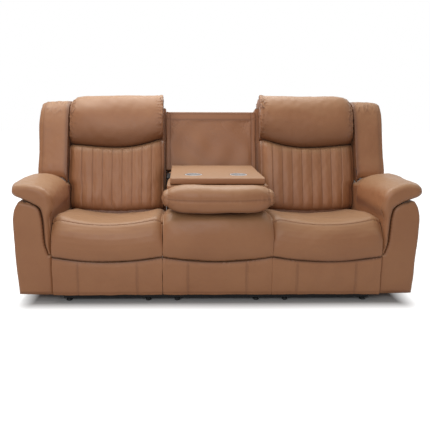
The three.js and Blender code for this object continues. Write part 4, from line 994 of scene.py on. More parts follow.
    def wing(self) -> Skin:
        """The upholstered block beside the back, drawn in at its outer seam."""
        ends = (Ends(radius=5, bulge=1), Ends(radius=13, bulge=3))
        first, last = self.wing_x + ends[0].radius, self.wing_x + self.wing_width - ends[1].radius
        x = lerp(first, last, (stations(1.0, 60) + 1) / 2)
        share = (x - self.wing_x) / self.wing_width
        narrow = self.wing_draw * round_off((share - 0.72) / 0.28)
        narrow += 3 * round_off((0.12 - share) / 0.12)
        shares = curve(self.wing_shares)
        forward, up = shares[None, :, 0], shares[None, :, 1]
        low_s, high_s = self.wing_s
        n = lerp((self.rear_n + narrow * 0.3)[:, None], (self.wing_n - narrow)[:, None], forward)
        s = lerp((low_s + narrow * 0.2)[:, None], (high_s - narrow)[:, None], up)
        shoulder = self.wing_shoulder * round_off((0.26 - share) / 0.26)[:, None]
        s -= shoulder * np.clip((0.2 - up) / 0.2, 0, 1) * smooth_step(0.3, 0.7, forward)
        skin = Skin(x, np.stack([n, s], -1), self.place, softness=4.5, columns=128, ends=ends)
        local = skin.points
        seed = 111 + self.side.value
        skin.ripple(local, 1.0, (1.5, seed, 150, (1, 1, 1.6)), (0.3, seed + 2, 40))
        top = smooth_step(0.78, 0.96, (local[..., 2] - 600) / 400)
        folds = fold_lines(local, seed + 5, 44, 0.22, (0.8, 1.4, 1.6))
        skin.push(-2.2 * top * folds)
        # Painted shade in the folds at the top.
        skin.darken(0.35 * top * folds)
        from_inner = skin.across - self.wing_x
        skin.seam(np.abs(from_inner - self.wing_width * self.wing_seam), 1.0, 2.2, shade=0.2)
        # Painted shade along the inner side, beside the headrest.
        return skin.darken(0.6 * bell(from_inner - 6, 14))

    def rear_cover(self) -> Skin:
        """The cover behind the back, as one board with a hem drawn in round it."""
        ends = Ends(radius=3, bulge=0)
        wide, narrow = self.wing_x + self.wing_width - self.cover_inset, self.inner_x - self.band - 0.5
        x = lerp(narrow + ends.radius, wide - ends.radius, (stations(1.0, 120, 0.3) + 1) / 2)
        low = np.where(x > self.outer_x - 2, lerp(*self.wing_s, 0.31), self.cover_low_s)
        edge = smooth_step(0, 26, np.minimum(x - x.min(), x.max() - x))
        high = self.frame_top_s + self.cover_rise - self.cover_corner * (1 - edge)
        near = self.rear_n - self.cover_gap
        far = near - self.cover_thickness
        corners = [
            (near, low), (far, low), (far, lerp(low, high, 0.04)), (far, lerp(low, high, 0.5)),
            (far, lerp(low, high, 0.96)), (far, high), (near, high),
        ]
        skin = Skin(x, corner_loop(x, corners), self.place, softness=2.2, columns=140, ends=ends)
        seed = 131 + self.side.value
        face = smooth_step(1, 4, skin.past(1)) * smooth_step(1, 4, -skin.past(5))
        skin.ripple(skin.points, face, (0.8, seed, 170), (0.15, seed + 1, 45))
        from_end = np.minimum(skin.past(1), -skin.past(5))
        aside = np.minimum(skin.across - x.min(), x.max() - skin.across)
        hem = np.minimum(np.abs(from_end - self.cover_hem[0]), np.abs(aside - self.cover_hem[1]))
        return skin.seam(np.where(face > 0.4, hem, NOWHERE), 0.9, 2.0, shade=0.35)

    def side_band(self) -> Skin:
        """The leather on the frame's inner side, turned over its front edge behind the cushions."""
        ends = Ends(radius=2, bulge=0)
        s = np.linspace(3 + ends.radius, self.frame_top_s - 8, 60)
        near, far, turned = self.inner_x - 0.4, self.inner_x - self.band, self.inner_x + 30
        low, front = self.rear_n - 5, self.frame_n + 0.6
        high = front + self.band
        corners = [
            (near, low), (far, low), (far, lerp(low, high, 0.5)), (far, high),
            (turned, high), (turned, front), (near, front),
        ]

        def place(along: Array, x: Array, n: Array) -> Array:
            """A place on the band, swept up the back."""
            return self.place(x, n, along)

        # The band is drawn a little darker all over, as painted shade in the gap beside the cushions.
        return Skin(s, corner_loop(s, corners), place, softness=1.2, columns=150, ends=ends).darken(0.15)

    def gap_cover(self) -> Skin:
        """The leather below the lumbar cushion: out of sight until the back leans away."""
        x = stations((self.outer_x - self.inner_x) / 2 - 8, 50, 0.3) + (self.outer_x + self.inner_x) / 2
        (near, far), (low, high) = self.gap_n, self.gap_s
        middle = lerp(low, high, 0.5)
        corners = [(near, low), (near, middle), (near, high), (far, high), (far, middle), (far, low)]
        ends = Ends(radius=1, bulge=0)
        # Drawn dark all over, as painted shade under the lumbar cushion.
        return Skin(x, corner_loop(x, corners), self.place, softness=0.8, columns=90, ends=ends).darken(0.75)

    def build(self, shop: Workshop) -> None:
        """Makes the back's pieces, and the stitching of its channels and headrest."""
        word = self.side.word
        body = f"{word}_back"
        lumbar, seams = self.lumbar()
        shop.cover(f"{word}_lumbar", lumbar, body, [f"{word}_lumbar_cushion"])
        arc, marks = lumbar.arc[90], lumbar.marks[90]
        columns = np.flatnonzero((arc > marks[1] + 20) & (arc < marks[10] - 10))
        for seam_x in seams:
            shop.sew(body, *lumbar.rib(seam_x, columns))
        head = self.headrest()
        shop.cover(f"{word}_headrest", head, body, [f"{word}_headrest"])
        shop.sew(body, *head.trace(0, 12.0))
        shop.cover(f"{word}_wing", self.wing(), body, [f"{word}_wing"])
        shop.cover(f"{word}_back_side", self.side_band(), body)
        shop.cover(f"{word}_gap_cover", self.gap_cover(), body)
        shop.cover(f"{word}_rear_cover", self.rear_cover(), body, [f"{word}_rear_cover"])


@dataclass
class Arm:
    """One arm: the upholstered side panel and the rounded pad that flows down its front."""

    side: Side
    inner_x: float = 847.0
    width: float = 189.5
    lip: float = 23.5
    top_z: float = 618.0
    bottom_z: float = 35.0
    front_y: float = 18.0
    rear_y: float = 700.0
    pad_front_y: float = 4.0
    pad_bottom_z: float = 400.0
    drop_start_y: float = 380.0
    rear_drop: float = 52.0
    tongue_y: float = 60.0
    crease_gap: float = 0.4
    inner_gap: float = 0.8
    hem_rise: float = 14.0
    pad_shares: tuple = (
        (0.005, 0.4), (0.005, 0.56), (0.005, 0.647), (0.004, 0.715), (-0.08, 0.796), (-0.07, 0.85),
        (-0.03, 0.9), (0.099, 0.952), (0.319, 0.988), (0.6, 1), (0.85, 0.995), (0.96, 0.977),
        (1.0, 0.948), (0.975, 0.915), (0.9, 0.894), (0.756, 0.876), (0.437, 0.835), (0.258, 0.795),
        (0.202, 0.728), (0.178, 0.602), (0.155, 0.485), (0.07, 0.4),
    )
    panel_shares: tuple = (
        (0, 0), (0.93, 0.003), (0.958, 0.19), (0.984, 0.42), (1, 0.606), (0.983, 0.71), (0.914, 0.796),
        (0.813, 0.846),
    )
    border: tuple[int, int] = (15, 21)
    border_start: int = 16

    def place(self, y: Array, x: Array, z: Array) -> Array:
        """A place on the arm, swept from front to rear."""
        return upright(self.side.hand * (self.inner_x + x), y, z)

    def _outline(self) -> tuple[Array, Array]:
        """The pad's section as shares, and what their two axes are worth."""
        scale = np.array((self.width + self.lip, self.top_z))
        return curve(self.pad_shares, scale=scale), scale

    def _rear_fall(self, y: Array) -> Array:
        """How far the arm has dropped behind the seat's middle."""
        behind = np.clip((y - self.drop_start_y) / (self.rear_y - self.drop_start_y), 0, 1)
        return self.rear_drop * behind**0.4

    def _level(self, z: Array) -> Array:
        """How much of that drop a height takes: none at the pad's foot, and all of it at the top."""
        return np.clip((z - self.pad_bottom_z) / (self.top_z - self.pad_bottom_z), 0, 1)

    def pad(self) -> Skin:
        """The pad: sections that grow quickly from a round front, and lose the tongue behind it."""
        dome = Dome(depth=34, reach=30, tip=(48, 0.0))
        front = self.pad_front_y + dome.depth
        y = np.concatenate([np.linspace(front, 60, 12), np.linspace(64, 120, 14), np.linspace(128, 690, 66)])
        t = np.clip((y - self.pad_front_y) / 130, 0, 1)
        low = 3 * (1 - np.sqrt(1 - (1 - t) ** 2))
        wide = lerp(0.8, 1.0, np.sin(t * math.pi / 2)) * (1 - 0.03 * smooth_step(690, 700, y + 10))
        keep = smooth_step(430, 370, y)[:, None]
        shares, scale = self._outline()
        across, up = shares[None, :, 0], shares[None, :, 1]
        up = up - 0.02 * (1 - keep) * bell(across - 0.05, 0.12) * (up > 0.84)
        share = np.where(across < 0, across * keep + 0.005 * (1 - keep), across * wide[:, None])
        z = self.top_z * up
        floor = self.pad_bottom_z
        tongue = (y < self.tongue_y + 1)[:, None]
        z = np.where((z < floor) & ~tongue, floor - (floor - z) * 0.03, z)
        z = z - (low + self._rear_fall(y))[:, None] * self._level(z)
        ends = (dome, Ends(radius=10, bulge=5))
        outline = np.stack([share * scale[0], z], -1)
        skin = Skin(y, outline, self.place, softness=4.5, columns=200, ends=ends, lead=0)
        local = skin.points
        seed = 151 + self.side.value
        upper = smooth_step(470, 540, local[..., 2])
        skin.ripple(local, upper, (1.6, seed, 140, (1, 1.5, 1)), (0.3, seed + 1, 40))
        fan = bell(local[..., 2] - 500, 60) * smooth_step(150, 20, local[..., 1])
        skin.push(-0.8 * fan * fold_lines(local, seed + 4, 60, 0.2, (0.6, 1, 2.2)))
        # The border runs from the lip's underside to the tongue's end.
        first, last = (4 * corner for corner in self.border)
        outside = np.maximum(np.maximum(-skin.past(first), skin.past(last)), 0)
        fade = smooth_step(270, 420, local[..., 2])
        # Painted shade along the border, where the pad overhangs the panel.
        return skin.darken(0.6 * fade * bell(np.hypot(outside, skin.inward), 7))

    def panel(self) -> Skin:
        """The side panel: its outline follows the pad's border one crease below it."""
        scale = (self.width, self.top_z - self.bottom_z)
        outer = np.concatenate([self.panel_shares[:1], curve(self.panel_shares[1:], scale=scale)])
        outer = outer * scale + (0, self.bottom_z)
        shares, pad_scale = self._outline()
        border = shares[4 * self.border_start :] * pad_scale + (self.crease_gap, -self.crease_gap)
        dome = Dome(depth=14, reach=20, tip=(len(outer) - 1, 0.5))
        parts = (
            (self.front_y + dome.depth, self.tongue_y + 5, 12),
            (self.tongue_y + 9, self.tongue_y + 30, 5),
            (self.tongue_y + 40, self.rear_y - 11, 60),
        )
        y = np.concatenate([np.linspace(*part) for part in parts])
        edge = np.repeat(border[None], len(y), 0)
        behind = (y > self.tongue_y + 7)[:, None]
        edge[..., 1] = np.where(behind, np.maximum(edge[..., 1], self.pad_bottom_z - 6), edge[..., 1])
        base = np.repeat(outer[None], len(y), 0)
        base[:, 0, 0] = self.inner_gap
        inner = corner_loop(y, [(self.inner_gap, edge[:, -1, 1] - 0.2)])
        outline = np.concatenate([base, edge, inner], 1)
        outline[..., 1] -= self._rear_fall(y)[:, None] * self._level(outline[..., 1])
        ends = (dome, Ends(radius=11, bulge=1.5))
        skin = Skin(y, outline, self.place, softness=3.0, columns=330, ends=ends, lead=0)
        local = skin.points
        seed = 171 + self.side.value
        skin.ripple(local, 1.0, (1.0, seed, 170), (0.2, seed + 1, 45))
        near = np.minimum.reduce([skin.from_mark(k) for k in range(len(outer), outline.shape[1] - 1)])
        # Painted shade along the crease under the pad's border.
        skin.darken(0.5 * bell(near, 7))
        above = local[..., 2] - self.bottom_z
        hem = np.where(above < 40, np.abs(above - self.hem_rise), NOWHERE)
        return skin.seam(hem, 0.8, 2.0, shade=0.3)

    def build(self, shop: Workshop) -> None:
        """Makes the arm's two pieces."""
        word = self.side.word
        shop.cover(f"{word}_arm_pad", self.pad(), "frame", [f"{word}_arm_pad"])
        shop.cover(f"{word}_arm_panel", self.panel(), "frame", [f"{word}_arm_panel"])


@dataclass
class RearBoard:
    """A thin leather covered board that closes the rear, with a hem drawn in round it.

    Attributes:
        place: Turns (across, depth, height) into points in millimetres.
        half: Half its width.
        depths: Its near face and its far face.
        heights: Its lower edge and its upper edge.
        softness: Its corners' blur.
        grid: Its sections, and the points round each.
        ripple: Its unevenness, as height, seed and wavelength.
        hem: The hem's distance from the edges above and below, and from the ends.
        hem_depth: How far the hem is drawn in.
    """

    place: Placer
    half: float
    depths: tuple[float, float]
    heights: tuple[float, float]
    softness: float
    grid: tuple[int, int]
    ripple: tuple[float, int, float]
    hem: tuple[float, float]
    hem_depth: float

    def skin(self) -> Skin:
        """The board's surface."""
        ends = Ends(radius=3, bulge=0)
        sections, columns = self.grid
        x = stations(self.half - ends.radius, sections, 0.3)
        (near, far), (low, high) = self.depths, self.heights
        corners = [(near, low), (far, low), (far, lerp(low, high, 0.5)), (far, high), (near, high)]
        skin = Skin(x, corner_loop(x, corners), self.place, self.softness, columns, ends)
        low_gap, high_gap = skin.past(1), -skin.past(3)
        face = smooth_step(1, 4, low_gap) * smooth_step(1, 4, high_gap)
        skin.ripple(skin.points, face, self.ripple)
        ahead = np.abs(np.minimum(low_gap, high_gap) - self.hem[0])
        aside = np.abs(self.half - np.abs(skin.across) - self.hem[1])
        hem = np.where(face > 0.4, np.minimum(ahead, aside), NOWHERE)
        return skin.seam(hem, self.hem_depth, 2.0, shade=0.35)


@dataclass
class CenterBack:
    """The fixed centre back behind the console, its rear cover and the skirts below."""

    datum: Datum
    half: float = 280.5
    cover_half: float = 281.2
    bottom_s: float = 262.0
    top_s: float = 629.0
    front_n: float = 65.0
    rear_n: float = 25.4
    border: float = 46.0
    roll: float = 10.0
    strip: float = 24.0
    frame_rear_n: float = -55.6
    cover_thickness: float = 9.0
    cover_low_s: float = -5.0
    lower_half: float = 234.0
    lower_s: float = 70.0
    skirt_half: float = 281.4
    skirt_y: tuple[float, float] = (711.2, 720.8)
    skirt_z: tuple[float, float] = (45.2, 299.8)

    def panel(self) -> Skin:
        """The flat panel: a sewn band along its top, a strip down each side, and slack folds."""
        ends = Ends(radius=6, bulge=0)
        x = stations(self.half - ends.radius, 140, 0.3)
        bottom, top = self.bottom_s, self.top_s + 6 * smooth_step(0.9, 1.0, np.abs(x) / self.half)
        corners = [
            (self.rear_n, top), (self.rear_n, bottom), (self.front_n, bottom),
            (self.front_n, lerp(bottom, top, 0.5)), (self.front_n, top - self.border),
            (self.front_n - 1, top),
        ]
        skin = Skin(x, corner_loop(x, corners), self.datum.leaning, softness=3.0, columns=240, ends=ends)
        face = smooth_step(4, 12, skin.past(2)) * smooth_step(2, 8, -skin.past(5))
        from_strip = self.half - self.strip - np.abs(skin.across)
        slack = face * smooth_step(0, 24, from_strip) * smooth_step(0, 20, -skin.past(4))
        local = skin.points
        skin.push(slack * (2.0 * waves(local, 201, 160) - 1.0))
        turned = local @ np.array([[0.82, 0, 0.57], [0, 1, 0], [-0.57, 0, 0.82]])
        upper = smooth_step(0.35, 0.9, skin.past(2) / (self.top_s - bottom))
        skin.push(-1.3 * slack * upper * fold_lines(turned, 203, 120, 0.12, (2.6, 1, 0.55)))
        skin.seam(np.where(face > 0.5, skin.from_mark(4), NOWHERE), 1.6, 2.4, shade=0.45)
        skin.seam(np.where(face > 0.2, np.abs(skin.past(5) + self.roll), NOWHERE), 1.6, 2.4, shade=0.45)
        skin.seam(np.where(face > 0.3, np.abs(from_strip), NOWHERE), 1.6, 2.2, shade=0.45)
        spokes = bell(np.hypot(from_strip, skin.past(4)), 80) * fold_lines(local * (1, 0.2, 1), 207, 34, 0.3)
        skin.push(-2.6 * slack * spokes)
        # Painted shade over the whole face, and more in the folds from the upper corners.
        return skin.darken(face * (0.13 + 0.14 * spokes))

    def rear_cover(self) -> Skin:
        """The cover behind the centre back."""
        return RearBoard(
            place=self.datum.leaning,
            half=self.cover_half,
            depths=(self.frame_rear_n, self.frame_rear_n - self.cover_thickness),
            heights=(self.cover_low_s, self.top_s),
            softness=2.2,
            grid=(90, 130),
            ripple=(0.8, 211, 170),
            hem=(16, 14),
            hem_depth=0.9,
        ).skin()

    def skirt(self, side: Side) -> Skin:
        """A rear skirt: an upright board between the floor gap and the back's lower edge."""
        center_x = SEAT_PITCH * side.value

        def place(x: Array, y: Array, z: Array) -> Array:
            """A place across the skirt."""
            return upright(center_x + x, y, z)

        return RearBoard(
            place=place,
            half=self.skirt_half,
            depths=self.skirt_y,
            heights=self.skirt_z,
            softness=2.0,
            grid=(60, 96),
            ripple=(0.5, int(center_x) % 997, 150),
            hem=(14, 12),
            hem_depth=0.8,
        ).skin()

    def strip_board(self, half: float, n: tuple[float, float], s: tuple[float, float]) -> Skin:
        """A flat leather covered strip across the centre back, between two depths and two heights."""
        ends = Ends(radius=1.2, bulge=0)
        x = stations(half - ends.radius, 70, 0.3)
        (near, far), (low, high) = n, s
        corners = [
            (near, low), (lerp(near, far, 0.5), low), (far, low), (far, lerp(low, high, 0.5)),
            (far, high), (lerp(near, far, 0.5), high), (near, high), (near, lerp(low, high, 0.5)),
        ]
        outline = corner_loop(x, corners)
        # Drawn a little darker all over, as painted shade in the recess that the strip closes.
        return Skin(x, outline, self.datum.leaning, softness=0.9, columns=120, ends=ends).darken(0.2)

    def build(self, shop: Workshop) -> None:
        """Makes the panel, the cover, the two strips that close the frame, and the three skirts."""
        panel = self.panel()
        shop.cover("center_back_panel", panel, "frame", ["center_back_panel"])
        shop.sew("frame", *panel.trace(4, -5.0))
        shop.cover("center_rear_cover", self.rear_cover(), "frame", ["center_rear_cover"])
        top_n, top_s = (self.frame_rear_n - 8, self.front_n - 4), (self.top_s - 1, self.top_s + 2.5)
        shop.cover("center_back_top", self.strip_board(self.half - 1.5, top_n, top_s), "frame")
        low_n, low_s = (self.rear_n + 0.8, self.rear_n + 4), (self.lower_s, self.bottom_s + 2)
        shop.cover("center_back_lower", self.strip_board(self.lower_half, low_n, low_s), "frame")
        for side in Side:
            shop.cover(f"{side.word}_rear_skirt", self.skirt(side), "frame", [f"{side.word}_rear_skirt"])


@dataclass
class Console:
    """The back that folds down: table, cushion underneath, pillow in front."""

    half: float = 242.0
    top_z: float = 639.0
    thickness: float = 33.0
    front_y: float = 71.0
    rear_y: float = 572.0
    edge_seam: float = 9.0
    cushion_half: float = 261.0
    cushion_floor: float = 478.0
    cushion_gap: float = 3.4
    channel_pitch: float = 58.0
    channel_reach: float = 210.0
    pillow_half: float = 284.0
    pillow_front: float = -60.0
    pillow_z: tuple[float, float] = (470.0, 613.0)
    pillow_shares: tuple = (
        (1, 0.28), (1, 0.55), (0.96, 0.8), (0.8, 0.95), (0.58, 1), (0.36, 0.985), (0.16, 0.9),
        (0.04, 0.74), (0.015, 0.62), (0.03, 0.54), (0.0, 0.44), (0.05, 0.27), (0.18, 0.12),
        (0.38, 0.03), (0.62, 0), (0.86, 0.06),
    )
    pillow_seam: int = 36
    pillow_foot: int = 52
    cup_x: float = 120.3
    cup_y: float = 201.0
    cup_radius: float = 41.8
    cup_gap: float = 0.4
    cup_depth: float = 60.0
    rim_radius: float = 47.8
    rim_gap: float = 0.3
    rim_depth: float = 2.2

    def table(self) -> Skin:
        """The leather covered table board, with rolled edges."""
        ends = Ends(radius=5, bulge=0)
        x = stations(self.half - ends.radius, 90, 0.4)
        low, high = self.top_z - self.thickness, self.top_z
        middle = lerp(self.front_y, self.rear_y, 0.5)
        corners = [
            (self.front_y, low), (self.front_y, high), (middle, high + 0.4), (self.rear_y, high),
            (self.rear_y, low), (middle, low),
        ]
        skin = Skin(x, corner_loop(x, corners), upright, softness=3.6, columns=160, ends=ends)
        front = (skin.from_mark(0) < 40) & (skin.points[..., 1] < self.front_y + 6)
        line = np.where(front, np.abs(skin.points[..., 2] - low - self.edge_seam), NOWHERE)
        return skin.seam(line, 0.7, 1.6, shade=0.35)

    def cushion(self) -> Skin:
        """The back cushion, face down under the table."""
        ends = Ends(radius=14, bulge=2)
        x = stations(self.cushion_half - ends.radius - 2, 80)
        top = self.top_z - self.thickness - self.cushion_gap
        y0, y1 = self.front_y + 0.5, self.rear_y - 12.5
        under = self.cushion_floor + 12 * (x / self.cushion_half) ** 4
        corners = [
            (y0, top), (y0, under + 22), (y0 + 22, under + 4), (lerp(y0, y1, 0.35), under),
            (lerp(y0, y1, 0.7), under), (y1 - 22, under + 4), (y1, under + 22), (y1, top),
        ]
        skin = Skin(x, corner_loop(x, corners), upright, softness=6.0, columns=140, ends=ends)
        below = smooth_step(30, 60, skin.past(1)) * smooth_step(30, 60, -skin.past(6))
        half_pitch = self.channel_pitch / 2
        gap = np.abs((skin.across + half_pitch) % self.channel_pitch - half_pitch)
        skin.ripple(skin.points, below, (1.2, 231, 120))
        sewn = (np.abs(skin.across) < self.channel_reach) & (below > 0.3)
        return skin.seam(np.where(sewn, gap, NOWHERE), 2.6, 2.4, shade=0.5)

    def pillow(self) -> Skin:
        """The headrest pillow: full in the middle, with a seam along its front and gathered ends."""
        ends = Ends(radius=26, bulge=6, rim_steps=12, side_steps=8)
        half = self.pillow_half - ends.radius - ends.bulge
        x = stations(half, 130)
        share = x / half
        shares = curve(self.pillow_shares)
        rear = self.front_y - 0.3
        low, high = self.pillow_z
        fall = round_off((np.abs(share) - 0.42) / 0.6) ** 0.9
        end = round_off((np.abs(share) - 0.66) / 0.365)
        depth = lerp(rear - self.pillow_front, (rear - self.pillow_front) * 0.66, fall)
        bottom = low + (high - low) * (0.1 * fall + 0.24 * end)
        top = high - (high - low) * (0.03 * fall + 0.22 * end)
        y = rear - depth[:, None] * (1 - shares[None, :, 0])
        z = lerp(bottom[:, None], top[:, None], shares[None, :, 1])
        skin = Skin(x, np.stack([y, z], -1), upright, softness=5.0, columns=150, ends=ends)
        local = skin.points
        free = smooth_step(rear - 4, rear - 30, local[..., 1])
        skin.ripple(local, free, (1.8, 241, 130, (1.6, 1, 1)), (0.3, 242, 40))
        gathers = smooth_step(0.68, 1.0, np.abs(skin.across) / self.pillow_half)
        gathers = gathers * fold_lines(local, 244, 40, 0.24, (2.2, 1, 0.9))
        skin.push(-2.4 * free * gathers)
        # Painted shade in the end gathers, and along the underside where the pillow rests on the seat.
        skin.darken(0.35 * gathers)
        skin.darken(0.85 * bell(skin.from_mark(self.pillow_foot), 20))
        distance = skin.from_mark(self.pillow_seam)
        skin.pucker(distance, local, 0.7, 246, 24)
        return skin.seam(distance, 1.3, 2.0, shade=0.45, spread=1.6)

    def cut_cups(self, piece: bpy.types.Object, datum: Datum) -> None:
        """Cuts the cup holes and the shallow seats of their rims out of the table with booleans."""
        wells = (
            (self.cup_radius + self.cup_gap, self.cup_depth),
            (self.rim_radius + self.rim_gap, self.rim_depth),
        )
        for hand, (radius, depth) in ((hand, well) for hand in (-1, 1) for well in wells):
            # The cutter is 100 mm high and starts at the well's floor.
            middle = np.array([hand * self.cup_x, self.cup_y, self.top_z - depth + 50])
            bpy.ops.mesh.primitive_cylinder_add(
                vertices=96, radius=radius * MM, depth=0.1, location=datum.row(middle)
            )
            tool = bpy.context.object
            cut = piece.modifiers.new("cup", "BOOLEAN")
            cut.operation, cut.object, cut.solver = "DIFFERENCE", tool, "EXACT"
            bpy.context.view_layer.objects.active = piece
            bpy.ops.object.modifier_apply(modifier=cut.name)
            bpy.data.objects.remove(tool, do_unlink=True)

    def build(self, shop: Workshop) -> None:
        """Makes the console's three soft pieces, and cuts the table for its cups."""
        table = shop.cover("console_table", self.table(), "console", ["console_table"])
        self.cut_cups(table, shop.datum)
        shop.cover("console_cushion", self.cushion(), "console", ["console_cushion"])
        pillow = self.pillow()
        shop.cover("console_pillow", pillow, "console", ["console_pillow"])
        shop.sew("console", *pillow.trace(self.pillow_seam, 7.0))


def srgb(code: str) -> tuple[float, float, float, float]:
    """Turns a hex colour into the linear one that shaders take."""
    values = [int(code[k : k + 2], 16) / 255 for k in (0, 2, 4)]
    linear = [v / 12.92 if v <= 0.04045 else ((v + 0.055) / 1.055) ** 2.4 for v in values]
    return (*linear, 1.0)


def add_node(
    tree: bpy.types.NodeTree, kind: str, settings: dict | None = None, links: dict | None = None
) -> bpy.types.Node:
    """Adds a node with its settings, socket values and links.

    Args:
        tree: The tree that it joins.
        kind: The node's type name.
        settings: Attributes by name. A key that is an input socket sets its value.
        links: Input socket to the output socket that feeds it.

    Returns:
        The new node.
    """
    made = tree.nodes.new(kind)
    for key, value in (settings or {}).items():
        if isinstance(key, str) and hasattr(made, key):
            setattr(made, key, value)
        else:
            made.inputs[key].default_value = value
    for socket, source in (links or {}).items():
        tree.links.new(source, made.inputs[socket])
    return made


def seen_plainly(tree: bpy.types.NodeTree) -> bpy.types.NodeSocket:
    """A value of 1 for rays from the camera and in reflections, and 0 for the rest."""
    path = add_node(tree, "ShaderNodeLightPath")
    links = {0: path.outputs["Is Camera Ray"], 1: path.outputs["Is Glossy Ray"]}
    return add_node(tree, "ShaderNodeMath", {"operation": "MAXIMUM"}, links).outputs[0]


class Finish:
    """One material under construction, on top of a Principled shader."""

    def __init__(self, name: str) -> None:
        """Starts a material whose textures are placed by the piece's own coordinates."""
        self.material = bpy.data.materials.new(name)
        self.material.use_nodes = True
        self.tree = self.material.node_tree
        self.tree.nodes.clear()
        self.shader = self.node("ShaderNodeBsdfPrincipled")
        self.node("ShaderNodeOutputMaterial", links={"Surface": self.shader.outputs[0]})
        self.place = self.node("ShaderNodeTexCoord").outputs["Object"]

    def node(self, kind: str, settings: dict | None = None, links: dict | None = None) -> bpy.types.Node:
        """Adds a node to the material, as add_node does."""
        return add_node(self.tree, kind, settings, links)

    def feed(self, socket: str, source: bpy.types.Node | bpy.types.NodeSocket) -> None:
        """Links a socket, or a node's first output, to the shader."""
        output = source.outputs[0] if isinstance(source, bpy.types.Node) else source
        self.tree.links.new(output, self.shader.inputs[socket])

    def set(self, **values: float | tuple) -> None:
        """Sets plain values on the shader, with underscores for the spaces in socket names."""
        for key, value in values.items():
            self.shader.inputs[key.replace("_", " ")].default_value = value

    def ramp(self, source: bpy.types.NodeSocket, stops: Sequence[tuple[float, str]]) -> bpy.types.NodeSocket:
        """Colours a value through a ramp of hex stops."""
        made = self.node("ShaderNodeValToRGB", links={"Fac": source})
        elements = made.color_ramp.elements
        while len(elements) < len(stops):
            elements.new(0.5)
        for element, (at, code) in zip(elements, stops):
            element.position, element.color = at, srgb(code)
        return made.outputs["Color"]


def leather(name: str) -> bpy.types.Material:
    """Tan corrected-grain leather: pigmented and rolled, so the colour is even and softly glossy.

    The real grain is about 1 mm across, which is too fine to show at this size, so the pebbles are
    drawn 4 mm across, with a second, finer one for close views. Light and shade are painted in: the
    crease attribute mixes in a darker, redder brown as painted shade, and faces that point up are
    mixed towards a paler tan as painted light from above.
    """
    made = Finish(name)
    at = {"Vector": made.place}
    broad = made.node("ShaderNodeTexNoise", {"Scale": 3.2, "Detail": 3.0, "Roughness": 0.55}, at)
    mottle = made.node("ShaderNodeTexNoise", {"Scale": 60.0, "Detail": 4.0, "Roughness": 0.6}, at)
    links = {2: broad.outputs["Fac"], 3: mottle.outputs["Fac"]}
    both = made.node("ShaderNodeMix", {"data_type": "FLOAT", 0: 0.2}, links)
    tan = made.ramp(both.outputs[0], [(0.34, "956341"), (0.5, "9A6845"), (0.66, "9F6D49")])
    # Painted light and shade: faces that point up are mixed towards a paler tan, and the crease attribute
    # mixes in a dark red-brown.
    normal = made.node("ShaderNodeNewGeometry").outputs["Normal"]
    height = made.node("ShaderNodeSeparateXYZ", links={0: normal}).outputs["Z"]
    span = {"From Min": 0.3, "From Max": 0.95, "To Max": 0.9}
    painted_top_light = made.node("ShaderNodeMapRange", span, {"Value": height})
    crease = made.node("ShaderNodeAttribute", {"attribute_name": "crease"})
    for share, code in ((painted_top_light.outputs["Result"], "A07A58"), (crease.outputs["Fac"], "4E2A17")):
        settings = {"data_type": "RGBA", "blend_type": "MIX", 7: srgb(code)}
        tan = made.node("ShaderNodeMix", settings, {0: share, 6: tan}).outputs[2]
    made.feed("Base Color", tan)
    gloss = {"From Min": 0.3, "From Max": 0.7, "To Min": 0.44, "To Max": 0.54}
    made.feed("Roughness", made.node("ShaderNodeMapRange", gloss, {"Value": mottle.outputs["Fac"]}))
    coarse = {"feature": "SMOOTH_F1", "Scale": 260.0, "Smoothness": 0.7}
    pebble = made.node("ShaderNodeTexVoronoi", coarse, at)
    fine = made.node("ShaderNodeTexVoronoi", {"feature": "DISTANCE_TO_EDGE", "Scale": 700.0}, at)
    links = {2: pebble.outputs["Distance"], 3: fine.outputs["Distance"]}
    grain = made.node("ShaderNodeMix", {"data_type": "FLOAT", 0: 0.4}, links)
    relief = {"Strength": 0.12, "Distance": 0.001}
    made.feed("Normal", made.node("ShaderNodeBump", relief, {"Height": grain.outputs[0]}))
    made.set(IOR=1.5, Specular_IOR_Level=0.45, Sheen_Weight=0.06, Sheen_Roughness=0.35)
    return made.material


def coated_steel(name: str) -> bpy.types.Material:
    """Black powder coat on steel: baked resin with a fine orange peel, drawn 2 mm across."""
    made = Finish(name)
    peel = made.node("ShaderNodeTexNoise", {"Scale": 500.0, "Detail": 2.0}, {"Vector": made.place})
    wear = made.node("ShaderNodeTexNoise", {"Scale": 14.0, "Detail": 5.0}, {"Vector": made.place})
    made.feed("Base Color", made.ramp(wear.outputs["Fac"], [(0.3, "0C0C0D"), (0.7, "131315")]))
    relief = {"Strength": 0.25, "Distance": 0.0004}
    made.feed("Normal", made.node("ShaderNodeBump", relief, {"Height": peel.outputs["Fac"]}))
    made.set(Roughness=0.68, IOR=1.5, Specular_IOR_Level=0.3)
    return made.material


def grained(
    name: str,
    stops: Sequence[tuple[float, str]],
    noise: dict,
    relief: tuple[float, float],
    stretch: tuple[float, float, float] = (1.0, 1.0, 1.0),
) -> tuple[Finish, bpy.types.NodeSocket]:
    """Starts a material whose colour and relief follow one grain.

    Args:
        name: The material's name.
        stops: The grain's values, and their hex colours.
        noise: The noise texture's settings.
        relief: The bump's strength, and its height in metres.
        stretch: How much finer the grain is along X, Y and Z.

    Returns:
        The material under construction, and the grain.
    """
    made = Finish(name)
    place = made.node("ShaderNodeMapping", {"Scale": stretch}, {"Vector": made.place}).outputs["Vector"]
    grain = made.node("ShaderNodeTexNoise", noise, {"Vector": place}).outputs["Fac"]
    made.feed("Base Color", made.ramp(grain, stops))
    settings = {"Strength": relief[0], "Distance": relief[1]}
    made.feed("Normal", made.node("ShaderNodeBump", settings, {"Height": grain}))
    return made, grain


